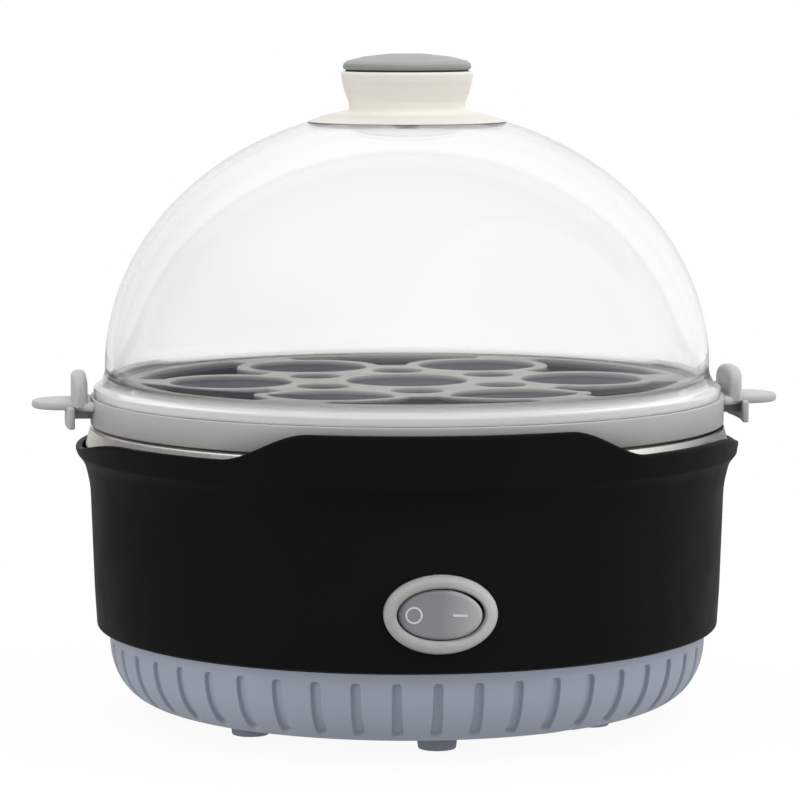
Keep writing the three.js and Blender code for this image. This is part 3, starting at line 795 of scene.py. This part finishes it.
def pan_rings():
    """The grooved outside of the pan as rings of points, from the bottom up to the seam."""
    outer = pan_corner(0, 60) + [(PAN_R, SEAM_Z - SEAM_GAP)]
    radius, height, along = resample(outer, PAN_RING_SPACING)
    slope_r = np.gradient(radius, along)
    slope_z = np.gradient(height, along)
    start, end = np.interp([GROOVE_BOTTOM_Z, GROOVE_TOP_Z], height, along)
    pitch = TAU / GROOVES
    rings = []
    for row, distance in enumerate(along):
        share = (distance - start) / (end - start)
        half = GROOVE_HALF_BOTTOM + (GROOVE_HALF_TOP - GROOVE_HALF_BOTTOM) * share
        edge = half / radius[row]
        ring = []
        for groove in range(GROOVES):
            for column in groove_columns():
                size = abs(column)
                offset = edge * min(size, 1) + (pitch / 2 - edge) * max(size - 1, 0)
                turn = pitch * groove - math.pi / 2 + math.copysign(offset, column)
                depth = groove_depth(size, distance, start, end, half)
                r = radius[row] - slope_z[row] * depth
                z = height[row] + slope_r[row] * depth
                ring.append((*polar(r, turn), z))
        rings.append(ring)
    return rings


def pan_shell():
    """The pan as one wall, grooved outside and plain inside."""
    rings = pan_rings()
    turns = [math.atan2(y, x) for x, y, _ in rings[0]]
    spigot_top = SEAM_Z - SEAM_GAP + SPIGOT_HEIGHT
    spigot = [
        (SPIGOT_R, SEAM_Z - SEAM_GAP),
        (SPIGOT_R, spigot_top, 0.5),
        (SPIGOT_R - SPIGOT_WALL, spigot_top, 0.5),
    ]
    inner = rounded(spigot + pan_corner(PAN_WALL, 10)[::-1])
    rings += [[(*polar(r, turn), z) for turn in turns] for r, z in inner]
    vertices = [(0, 0, PAN_BOTTOM_Z)]
    for ring in rings:
        vertices.extend(ring)
    vertices.append((0, 0, PAN_BOTTOM_Z + PAN_WALL))
    sides = len(turns)
    rows = [[0] * sides] + numbered_rows(len(rings), sides, 1) + [[len(vertices) - 1] * sides]
    return new_object("base_shell", vertices, stitched(rows))


def screw_places():
    """Where the three base screws stand, in millimetres."""
    return [middle(f"base_screw_{number}") for number in (1, 2, 3)]


def round_bar(radius, bottom, top, x=0.0, y=0.0):
    return place(prism("bar", ellipse(radius, radius, 48), bottom, top), x, y)


def build_base_pan():
    pan = pan_shell()
    centres = screw_places()
    weld(pan, *(round_bar(TOWER_R, PAN_BOTTOM_Z + 2, TOWER_TOP_Z, c.x, c.y) for c in centres))
    wells = [round_bar(WELL_R, -1, WELL_TOP_Z, c.x, c.y) for c in centres]
    holes = [round_bar(SCREW_HOLE_R, 0, TOWER_TOP_Z + 1, c.x, c.y) for c in centres]
    carve(pan, *wells, *holes)
    finish_piece(pan, "slate_plastic", "housing", "slate_plastic", "base_pan")


def build_feet():
    profile = rounded([
        (0, -DATUM_Z),
        (4.0, -DATUM_Z, 0),
        (4.8, 0.1 - DATUM_Z, 0.7),
        (5.4, FOOT_TOP_Z, 0.2),
        (0, FOOT_TOP_Z),
    ], steps=6)
    for number in range(1, FEET + 1):
        centre = middle(f"foot_{number}")
        pad = lathe(f"foot_pad_{number}", profile, 64)
        place(pad, centre.x, centre.y)
        finish_piece(pad, "foot_rubber", "housing", "foot_rubber", f"foot_{number}")


# ------------------------------------------------------------------ bowl


def build_bowl():
    floor = BOWL_BOTTOM_Z + 1
    profile = rounded([
        (0, floor - 0.8),
        (70, floor - 0.8, 4),
        (75.8, floor + 0.8, 4),
        (79.2, 60.5, 8),
        (80.9, BOWL_TOP_Z - 1, 0.5),
        (82.2, BOWL_TOP_Z - 0.9, 0.5),
        (BOWL_SKIRT_R - 0.9, 70.7, 0),
        (BOWL_SKIRT_R, 71.0, 0.2),
        (83.3, BOWL_TOP_Z - 0.5, 0.9),
        (81.6, BOWL_TOP_Z, 0.9),
        (80.2, BOWL_TOP_Z - 0.7, 0.6),
        (78.2, 61, 8),
        (75, floor + 1.6, 4),
        (69.6, floor, 3),
        (47.0, floor, 1),
        (46.2, floor - 0.5, 1),
        (0, floor - 0.5),
    ], steps=6)
    bowl = lathe("bowl_pressing", profile)
    finish_piece(bowl, "bowl_steel", "housing", "steel", "heating_bowl")


# ------------------------------------------------------------------ egg tray


def tray_rim():
    ledge, step = TRAY_LEDGE_Z, TRAY_LEDGE_Z - 2.2
    profile = rounded([
        (TRAY_R - 1.8, TRAY_BOTTOM_Z, 0.3),
        (TRAY_R, TRAY_BOTTOM_Z, 0.35),
        (TRAY_R, ledge, 0.35),
        (PLATEAU_R + 1.1, ledge, 0.8),
        (PLATEAU_R - 0.1, TRAY_TOP_Z, 1.1),
        (OPENING_OUTER_R, TRAY_TOP_Z, 0.5),
        (OPENING_OUTER_R, TRAY_TOP_Z - TRAY_PLATE, 0.3),
        (PLATEAU_R - 2, TRAY_TOP_Z - TRAY_PLATE, 0.5),
        (PLATEAU_R - 1, step, 0.5),
        (PLATEAU_R + 1, step, 0),
        (PLATEAU_R + 1, 74.0, 0.3),
        (PLATEAU_R + 2.6, 74.0, 0.3),
        (PLATEAU_R + 2.6, step, 0.4),
        (TRAY_R - 1.8, step, 0.4),
    ], closed=True)
    return lathe("rim", profile, closed=True)


def soft_ends(points, first_radius, last_radius):
    """Part of an outline, whose two end corners are to be rounded."""
    inner = [(*point, 0) for point in points[1:-1]]
    return [(*points[0], first_radius), *inner, (*points[-1], last_radius)]


def edge_opening():
    """Outline of the curved opening at 30 degrees, between two outer egg holes."""
    web_r = EGG_HOLE_R + WEB
    spread = 22.5
    near = math.radians(30 - spread)
    reach = EGG_PITCH * math.cos(near) + math.sqrt(web_r**2 - (EGG_PITCH * math.sin(near)) ** 2)
    start = polar(reach, near)
    half = (OPENING_INNER_R**2 + EGG_PITCH**2 - web_r**2) / (2 * OPENING_INNER_R * EGG_PITCH)
    tip = (OPENING_INNER_R * half, OPENING_INNER_R * math.sqrt(1 - half**2))
    first = math.degrees(math.atan2(start[1], start[0] - EGG_PITCH))
    last = math.degrees(math.atan2(tip[1], tip[0] - EGG_PITCH))
    web = arc(web_r, first, last, 14, (EGG_PITCH, 0))
    mirrored = spun([(x, -y) for x, y in web[::-1]], 60)
    outside = arc(OPENING_OUTER_R, 30 + spread, 30 - spread, 14)
    corners = soft_ends(outside, 1.6, 1.6) + soft_ends(web, 1.2, 1.5) + soft_ends(mirrored, 1.5, 1.2)
    return rounded(corners, closed=True)


def spun(outline, degrees):
    """An outline turned about the origin."""
    turn = math.radians(degrees)
    return [
        (x * math.cos(turn) - y * math.sin(turn), x * math.sin(turn) + y * math.cos(turn))
        for x, y in outline
    ]


def egg_places():
    return [(0.0, 0.0)] + [polar(EGG_PITCH, TAU * i / 6) for i in range(6)]


def flat_plate(name, outlines, bottom, top, edge):
    """A plate with holes and rounded edges, made from a filled curve."""
    curve = bpy.data.curves.new(name, "CURVE")
    curve.dimensions = "2D"
    curve.fill_mode = "BOTH"
    curve.extrude = ((top - bottom) / 2 - edge) * MM
    curve.bevel_depth = edge * MM
    curve.bevel_resolution = 3
    curve.offset = -edge * MM
    for outline in outlines:
        spline = curve.splines.new("POLY")
        spline.points.add(len(outline) - 1)
        spline.use_cyclic_u = True
        for point, (x, y) in zip(spline.points, outline):
            point.co = (x * MM, y * MM, 0, 1)
    holder = linked(name, curve)
    graph = bpy.context.evaluated_depsgraph_get()
    mesh = bpy.data.meshes.new_from_object(holder.evaluated_get(graph))
    bpy.data.objects.remove(holder)
    obj = linked(name, mesh)
    clean = bmesh.new()
    clean.from_mesh(mesh)
    bmesh.ops.remove_doubles(clean, verts=clean.verts, dist=1e-6)
    clean.to_mesh(mesh)
    clean.free()
    return place(obj, z=(top + bottom) / 2)


def tray_plate():
    outlines = [ellipse(OPENING_OUTER_R + 1.5, OPENING_OUTER_R + 1.5, 192)]
    outlines += [shifted(ellipse(EGG_HOLE_R, EGG_HOLE_R), x, y) for x, y in egg_places()]
    for i in range(6):
        x, y = polar(EGG_PITCH / math.sqrt(3), math.radians(30 + 60 * i))
        outlines.append(shifted(ellipse(STEAM_HOLE_R, STEAM_HOLE_R, 48), x, y))
        outlines.append(spun(edge_opening(), 60 * i))
    return flat_plate("plate", outlines, TRAY_TOP_Z - TRAY_PLATE, TRAY_TOP_Z, PLATE_EDGE)


def tray_collar(number, x, y):
    """The short wall round an egg hole, under the plate."""
    profile = rounded([
        (EGG_HOLE_R - 0.05, TRAY_TOP_Z - 0.7),
        (EGG_HOLE_R - 0.05, TRAY_TOP_Z - 1.6, 0.8),
        (EGG_HOLE_BOTTOM_R, TRAY_TOP_Z - COLLAR_DEPTH, 0.4),
        (EGG_HOLE_BOTTOM_R + 1.3, TRAY_TOP_Z - COLLAR_DEPTH, 0.4),
        (EGG_HOLE_R + 1.3, TRAY_TOP_Z - 1.2),
    ], steps=4)
    return place(lathe(f"collar_{number}", profile[::-1], ROUND_SMALL, closed=True), x, y)


def tray_tab(name, side):
    """A finger tab, its locating blade, its drip skirt and its rib."""
    end_r = 8.5
    tip = TRAY_TIP_R - end_r
    root = TRAY_R - 1.2
    lower = [(root, -13.0), (TRAY_R + 0.6, -12.2), (TRAY_R + 3.2, -10.0), (tip - 2.5, -end_r - 0.2)]
    outline = lower + arc(end_r, -90, 90, 24, (tip, 0)) + [(x, -y) for x, y in lower[::-1]]
    plate = prism("tab", outline, TAB_Z, TAB_Z + TAB_THICK, 0.9)
    outer_arc = arc(DRIP_SKIRT_R[1], -BLADE_SPREAD, BLADE_SPREAD, 12)
    inner_arc = arc(DRIP_SKIRT_R[0], BLADE_SPREAD, -BLADE_SPREAD, 12)
    skirt = prism("skirt", outer_arc + inner_arc, DRIP_SKIRT_Z, TAB_Z + 1, 0.6)
    rib_end = DRIP_SKIRT_R[0] + 0.6
    rib_outline = [(root, -0.9), (rib_end, -0.9), (rib_end, 0.9), (root, 0.9)]
    rib = prism("rib", rib_outline, TAB_Z - 3, TAB_Z + 1, 0.3)
    tab = joined(name, [plate, arched_blade(), skirt, rib])
    if side < 0:
        place(tab, turn=(180, "Z"))
    return tab


def arched_blade():
    """A round-topped blade along an arc, whose height falls away towards its two ends."""
    sections = 40
    around = 18
    middle_r = sum(BLADE_R) / 2
    half_thick = (BLADE_R[1] - BLADE_R[0]) / 2
    foot = TAB_Z + 1
    vertices = []
    for section in range(sections + 1):
        share = math.sin(math.pi * (section / sections - 0.5))
        turn = math.radians(BLADE_SPREAD) * share
        side_view = (1 - abs(share) ** BLADE_SQUARENESS) ** (1 / BLADE_SQUARENESS)
        height = BLADE_HEIGHT * max(0.02, side_view)
        thick = half_thick * (1 - 0.4 * abs(share) ** 6)
        round_top = min(1.9, height)
        for step in range(around + 1):
            angle = math.pi * step / around
            radius = middle_r + thick * math.copysign(abs(math.cos(angle)) ** 0.75, math.cos(angle))
            rise = height - round_top * (1 - math.sin(angle)) if 0 < step < around else 0
            vertices.append((*polar(radius, turn), foot + rise))
    rows = numbered_rows(sections + 1, around + 1)
    return new_object("blade", vertices, [rows[0][::-1], rows[-1]] + stitched(rows))


def build_tray():
    parts = [tray_rim(), tray_plate()]
    parts += [tray_collar(i, x, y) for i, (x, y) in enumerate(egg_places())]
    parts += [tray_tab("tab_right", 1), tray_tab("tab_left", -1)]
    tray = joined("tray_moulding", parts)
    finish_piece(tray, "grey_plastic", "tray", "grey_plastic", "egg_tray")


# ------------------------------------------------------------------ lid and knob


def dome_curve(radius, rise):
    """An upright quarter ellipse from the dome's foot to the hole under the knob."""
    steps = 64
    end = math.acos(LID_HOLE_R / radius)
    return [
        (radius * math.cos(end * i / steps), DOME_FOOT_Z + rise * math.sin(end * i / steps))
        for i in range(steps + 1)
    ]


def build_lid():
    rise = DOME_TOP_Z - DOME_FOOT_Z
    outside = dome_curve(DOME_R, rise)
    inside = dome_curve(DOME_R - DOME_WALL, rise - DOME_WALL)[::-1]
    flange = rounded([
        (DOME_R - DOME_WALL, FLANGE_Z + 3),
        (DOME_R - DOME_WALL, FLANGE_Z, 0.5),
        (FLANGE_R, FLANGE_Z, 0.2),
        (FLANGE_R, FLANGE_Z + 2.2, 0.9),
        (DOME_R + 1.3, FLANGE_Z + 3.0, 1.2),
        (DOME_R + 0.2, FLANGE_Z + 5.4, 1.6),
        (DOME_R, DOME_FOOT_Z - 0.6),
    ], steps=6)
    dome = lathe("dome", inside + flange + outside, ROUND, closed=True)
    finish_piece(dome, "clear_plastic", "lid", "clear_plastic", "dome_lid")


def build_knob():
    seat = DOME_TOP_Z + SEAM_GAP
    body = rounded([
        (KNOB_BORE_R, seat, 0.2),
        (5.0, seat, 1),
        (15.0, seat - 1.3, 4),
        (20.0, seat - 2.3, 8),
        (KNOB_SKIRT_R - 0.2, seat - 3.98, 0.05),
        (KNOB_SKIRT_R, seat - 3.85, 0.05),
        (22.0, seat - 2.4, 5),
        (17.2, seat - 1.3, 1.6),
        (15.1, seat - 0.85, 0.9),
        (15.4, KNOB_TOP_Z - 7.9, 3),
        (16.4, KNOB_TOP_Z - 5.3, 5),
        (17.1, KNOB_TOP_Z - 2.5, 4),
        (17.3, KNOB_TOP_Z - 0.8, 0.8),
        (17.15, KNOB_TOP_Z - 0.15, 0.4),
        (16.5, KNOB_TOP_Z - 0.1, 0.15),
        (16.3, KNOB_TOP_Z - 0.9, 0.1),
        (KNOB_BORE_R, KNOB_TOP_Z - 0.9, 0.2),
    ], steps=7, closed=True)
    knob = lathe("knob_moulding", body, 192, closed=True)
    finish_piece(knob, "cream_plastic", "lid", "cream_plastic", "knob_body")
    cap_profile = rounded([
        (0, CAP_BOTTOM_Z + 0.1),
        (CAP_R - 0.2, CAP_BOTTOM_Z + 0.1, 0.15),
        (CAP_R, CAP_BOTTOM_Z + 0.8, 0.4),
        (CAP_R - 0.15, CAP_TOP_Z - 2.5, 0.8),
        (CAP_R - 1.2, CAP_TOP_Z - 1.75, 0.9),
        (11.0, CAP_TOP_Z - 0.65, 6),
        (5.0, CAP_TOP_Z, 5),
        (0, CAP_TOP_Z),
    ], steps=8)
    cap = lathe("knob_button", cap_profile, 192)
    finish_piece(cap, "cap_plastic", "lid", "cap_plastic", "knob_cap")
    # a dark ring of painted shadow fills the gap between knob and cap
    bottom, top = KNOB_TOP_Z - 0.85, CAP_BOTTOM_Z + 0.05
    inner_r, outer_r = CAP_GAP_SHADOW_R
    section = [(inner_r, bottom), (outer_r, bottom), (outer_r, top), (inner_r, top)]
    ring = lathe("cap_seat", section, ROUND_SMALL, closed=True)
    finish_piece(ring, "cap_seat", "lid", "cap_plastic")


# ------------------------------------------------------------------ switch

ROCKER_PIVOT_Y = -82.0
ROCKER_FACE = 2.1            # from the pivot to the face's shallow middle
ROCKER_TILT = 8.0
ROCKER_DROOP = 0.8           # how far the face's two ends curve back
ROCKER_DROOP_X = 6.4
ROCKER_SOFTNESS = 1.5        # how widely the crease in the middle is rounded
ROCKER_EDGE = 0.9            # radius of the rolled edge
ROCKER_FOOT = -3.0           # depth of the paddle behind the pivot
MARK_LIFT = 0.06
MARK_ROOT = 0.2
OVAL_STEPS = 128             # facets round the bezel and the rocker


def ring_band(name, rows):
    """An oval ring from (half width, half height, depth) rows, closed on itself."""
    vertices = []
    for half_width, half_height, depth in rows:
        vertices += [(x, y, depth) for x, y in ellipse(half_width, half_height, OVAL_STEPS)]
    return new_object(name, vertices, stitched(numbered_rows(len(rows), OVAL_STEPS), True))


def build_bezel():
    thick = BEZEL_BACK_Y - BEZEL_FRONT_Y
    section = rounded([
        (0, -thick),
        (0, -1.25, 0.7),
        (-0.45, -0.3, 0.6),
        (-1.2, 0, 0.9),
        (-2.05, -0.12, 0.4),
        (-2.4, -0.85, 0.3),
        (-2.4, -thick),
    ], steps=6)
    span = BEZEL_HALF[0] - WINDOW_HALF[0]
    drop = BEZEL_HALF[1] - WINDOW_HALF[1]
    width = -section[-1][0]
    rows = []
    for across, depth in section:
        share = -across / width
        rows.append((BEZEL_HALF[0] - span * share, BEZEL_HALF[1] - drop * share, depth))
    bezel = ring_band("bezel_ring", rows)
    facing_front(bezel, BEZEL_FRONT_Y, SWITCH_Z)
    finish_piece(bezel, "bezel_plastic", "housing", "grey_plastic", "switch_bezel")


def rocker_face(x, y):
    """Height of the rocker's face above its pivot: a shallow V with a soft middle."""
    slope = math.tan(math.radians(ROCKER_TILT))
    beyond = max(0.0, (abs(x) - ROCKER_DROOP_X) / (ROCKER_HALF[0] - ROCKER_DROOP_X))
    softened = math.sqrt(x * x + ROCKER_SOFTNESS**2) - 0.4
    return ROCKER_FACE + slope * softened - ROCKER_DROOP * beyond**2


def on_face(outline, rise=0.0):
    """An outline laid on the rocker's face, or at a height above it."""
    return [(x, y, rocker_face(x, y) + rise) for x, y in outline]


def ring_mark(name, outer_r, inner_r, x):
    """A raised ring on the rocker's face."""
    steps = 64
    outer = shifted(ellipse(outer_r, outer_r, steps), x, 0)
    inner = shifted(ellipse(inner_r, inner_r, steps), x, 0)
    vertices = on_face(outer, MARK_LIFT) + on_face(inner, MARK_LIFT)
    vertices += on_face(inner, -MARK_ROOT) + on_face(outer, -MARK_ROOT)
    return new_object(name, vertices, stitched(numbered_rows(4, steps), closed=True))


def bar_mark(name, half_length, half_width, x):
    """A short raised bar on the rocker's face."""
    left, right = x - half_length, x + half_length
    corners = [(left, half_width), (right, half_width), (right, -half_width), (left, -half_width)]
    vertices = on_face(corners, MARK_LIFT) + on_face(corners, -MARK_ROOT)
    upper, lower = numbered_rows(2, 4)
    return new_object(name, vertices, [upper[::-1], lower] + stitched([upper, lower]))


def rocker_paddle():
    """The rocker lying flat: its face, its rolled edge and its tapered foot."""
    face_rings = 14
    roll_rings = 6
    face_half = (ROCKER_HALF[0] - ROCKER_EDGE, ROCKER_HALF[1] - ROCKER_EDGE)
    vertices = on_face([(0, 0)])
    for ring in range(1, face_rings + 1):
        share = ring / face_rings
        vertices += on_face(ellipse(face_half[0] * share, face_half[1] * share, OVAL_STEPS))
    for roll in range(1, roll_rings + 1):
        turn = roll / roll_rings * math.pi / 2
        grow = ROCKER_EDGE * math.sin(turn)
        sink = ROCKER_EDGE * (1 - math.cos(turn))
        vertices += on_face(ellipse(face_half[0] + grow, face_half[1] + grow, OVAL_STEPS), -sink)
    foot = ellipse(ROCKER_HALF[0] - 1.2, ROCKER_HALF[1] - 0.4, OVAL_STEPS)
    vertices += [(x, y, ROCKER_FOOT) for x, y in foot + [(0, 0)]]
    rings = numbered_rows(face_rings + roll_rings + 1, OVAL_STEPS, 1)
    rows = [[0] * OVAL_STEPS] + rings + [[len(vertices) - 1] * OVAL_STEPS]
    return new_object("rocker_paddle", vertices, stitched(rows[::-1]))


def tilt_about_pivot(piece):
    pivot = Matrix.Translation((0, ROCKER_PIVOT_Y * MM, 0))
    turn = Matrix.Rotation(math.radians(-ROCKER_TILT), 4, "Z")
    piece.data.transform(pivot @ turn @ pivot.inverted())


def build_rocker():
    rocker = rocker_paddle()
    off_mark = ring_mark("mark_off", 2.1, 1.66, -6.3)
    on_mark = bar_mark("mark_on", 1.8, 0.3, 5.0)
    for piece in (rocker, off_mark, on_mark):
        facing_front(piece, ROCKER_PIVOT_Y, SWITCH_Z)
        tilt_about_pivot(piece)
    finish_piece(rocker, "rocker_plastic", "rocker", "rocker_plastic", "switch_rocker")
    finish_piece(off_mark, "mark_paint", "rocker", "cream_plastic")
    finish_piece(on_mark, "mark_paint", "rocker", "cream_plastic")


# ------------------------------------------------------------------ gland and inner parts


def build_gland():
    inside_y = low("cord_gland", Y)
    profile = rounded([
        (3.5, inside_y, 0.3),
        (6.6, inside_y, 0.5),
        (6.6, inside_y + 2.4, 0.3),
        (5.0, inside_y + 2.4, 0),
        (5.0, GLAND_BACK_Y - 3.4, 0),
        (7.0, GLAND_BACK_Y - 3.4, 0.4),
        (6.4, GLAND_BACK_Y, 1.0),
        (4.4, GLAND_BACK_Y, 0.5),
        (3.5, GLAND_BACK_Y - 1.2, 0.5),
    ], closed=True)
    gland = lathe("gland_bush", profile, ROUND_SMALL, closed=True)
    gland.data.transform(Matrix.Rotation(math.radians(-90), 4, "X"))
    place(gland, 0, 0, GLAND_Z)
    finish_piece(gland, "bakelite", "housing", "bakelite", "cord_gland")


def dress_inner_parts():
    """Give the CAD nodes that are kept as they are their procedural materials."""
    rolled = ("bowl_bracket", "bowl_stud", "bowl_nut", "heating_element")
    special = dict.fromkeys(rolled, "fastener_steel")
    special |= dict.fromkeys(("knob_screw", "knob_washer"), "clear_nylon")
    slots = {part["node"]: part["material_slot"] for part in frame["record"]["subparts"]}
    for name, node in frame["nodes"].items():
        plain = "fastener_steel" if "screw" in name else slots[name]
        look = special.get(name, plain)
        node.data.materials.clear()
        node.data.materials.append(LOOKS[look])


# ------------------------------------------------------------------ stage, light and camera

STAGE_R = 1300.0             # millimetres
CONTACT_R = (120.0, 300.0)   # distances from the axis over which the contact shadow fades out
CONTACT_SHARE = 0.07
FLOOR_BOUNCE = 0.5           # how bright the floor is to everything but the eye
LIGHT_TARGET = (0, 0, 0.08)  # metres


def build_stage():
    """A white round floor that glows evenly, with a faint contact shadow near the object."""
    look = Look("stage_white", Roughness=0.9)
    look.drive("Base Color", look.blend(look.noise(3.0), (0.93, 0.93, 0.93), (0.95, 0.95, 0.95)))
    glow = look.nodes.new("ShaderNodeEmission")
    strength = look.spread(look.seen_directly(), FLOOR_BOUNCE, 1.0, 0.0, 1.0)
    look.links.new(strength, glow.inputs["Strength"])
    mix = look.nodes.new("ShaderNodeMixShader")
    shadowed = look.fade(look.length(look.space), CONTACT_R, CONTACT_SHARE, 0.0)
    for source, target in zip((shadowed, glow.outputs[0], look.shader.outputs[0]), mix.inputs):
        look.links.new(source, target)
    look.links.new(mix.outputs[0], look.nodes["Material Output"].inputs["Surface"])
    floor = lathe("floor", [(0, 0), (STAGE_R / 8, 0), (STAGE_R, 0)], 128)
    floor.data.materials.append(look.material)


def area_light(name, place_m, width, height, watts):
    """A rectangular lamp aimed at the object's middle, and left out of reflections."""
    data = bpy.data.lights.new(name, "AREA")
    data.shape = "RECTANGLE"
    data.size = width
    data.size_y = height
    data.energy = watts
    lamp = linked(name, data)
    lamp.location = place_m
    aim = Vector(LIGHT_TARGET) - Vector(place_m)
    lamp.rotation_euler = aim.to_track_quat("-Z", "Y").to_euler()
    lamp.visible_glossy = False
    lamp.visible_transmission = False


# Brightness of the surroundings, as reflected, towards each side.
WORLD_SIDES = {
    "left": (0.14, 0.135, 0.135),
    "right": (1.15, 1.15, 1.14),
    "front": (1.35, 1.35, 1.35),
    "back": (0.95, 0.95, 0.95),
    "up": (1.3, 1.3, 1.3),
    "down": (0.8, 0.8, 0.8),
}
WORLD_FILL = (0.58, 0.58, 0.585)     # what it gives to matt surfaces


def build_world():
    """White wherever it is seen directly or through the lid, and uneven in reflections."""
    world = bpy.data.worlds.new("studio")
    bpy.context.scene.world = world
    world.use_nodes = True
    sky = NodeTree(world.node_tree, "Generated")

    def turned(axis, start, end, first, second):
        """One colour giving way to another as the direction along an axis changes."""
        share = sky.spread(sky.along(axis), 0.0, 1.0, start, end, "SMOOTHSTEP")
        return sky.blend(share, first, second)

    around = turned("Y", -0.9, 0.9, WORLD_SIDES["front"], WORLD_SIDES["back"])
    around = turned("X", -0.1, -0.75, around, WORLD_SIDES["left"])
    around = turned("X", 0.1, 0.8, around, WORLD_SIDES["right"])
    around = turned("Z", 0.35, 0.9, around, WORLD_SIDES["up"])
    around = turned("Z", -0.1, -0.6, around, WORLD_SIDES["down"])
    matt = sky.nodes.new("ShaderNodeLightPath").outputs["Is Diffuse Ray"]
    unseen = sky.blend(matt, around, WORLD_FILL)
    white = sky.blend(sky.seen_directly(), unseen, (1.0, 1.0, 1.0))
    sky.links.new(white, sky.nodes["Background"].inputs["Color"])


def build_lights():
    area_light("top", (0.1, -0.1, 1.1), 1.2, 1.2, 8)
    area_light("right_fill", (0.95, -0.5, 0.4), 0.5, 0.8, 4)
    area_light("left_fill", (-0.95, -0.5, 0.4), 0.5, 0.8, 4)


CAMERA_AZIMUTH = -5.6        # degrees round from the switch side
CAMERA_ELEVATION = 6.0
CAMERA_DISTANCE = 1055.0
CAMERA_LENS = 180.0
CAMERA_AIM = (-1.85, 83.3)   # millimetres right of the axis and above the floor


def build_camera():
    turn, lift = math.radians(CAMERA_AZIMUTH), math.radians(CAMERA_ELEVATION)
    back = Vector((math.sin(turn) * math.cos(lift), -math.cos(turn) * math.cos(lift), math.sin(lift)))
    right = Vector((math.cos(turn), math.sin(turn), 0))
    target = right * CAMERA_AIM[0] + Vector((0, 0, CAMERA_AIM[1]))
    data = bpy.data.cameras.new("camera")
    data.lens = CAMERA_LENS
    data.sensor_width = 36
    camera = linked("camera", data)
    camera.location = (target + back * CAMERA_DISTANCE) * MM
    camera.rotation_euler = (-back).to_track_quat("-Z", "Y").to_euler()
    bpy.context.scene.camera = camera


build_camera()
build_stage()
build_world()
build_lights()
bpy.context.scene.view_settings.view_transform = "Standard"

dress_inner_parts()
build_casing()
build_base_pan()
build_feet()
build_bowl()
build_tray()
build_lid()
build_knob()
build_bezel()
build_rocker()
build_gland()
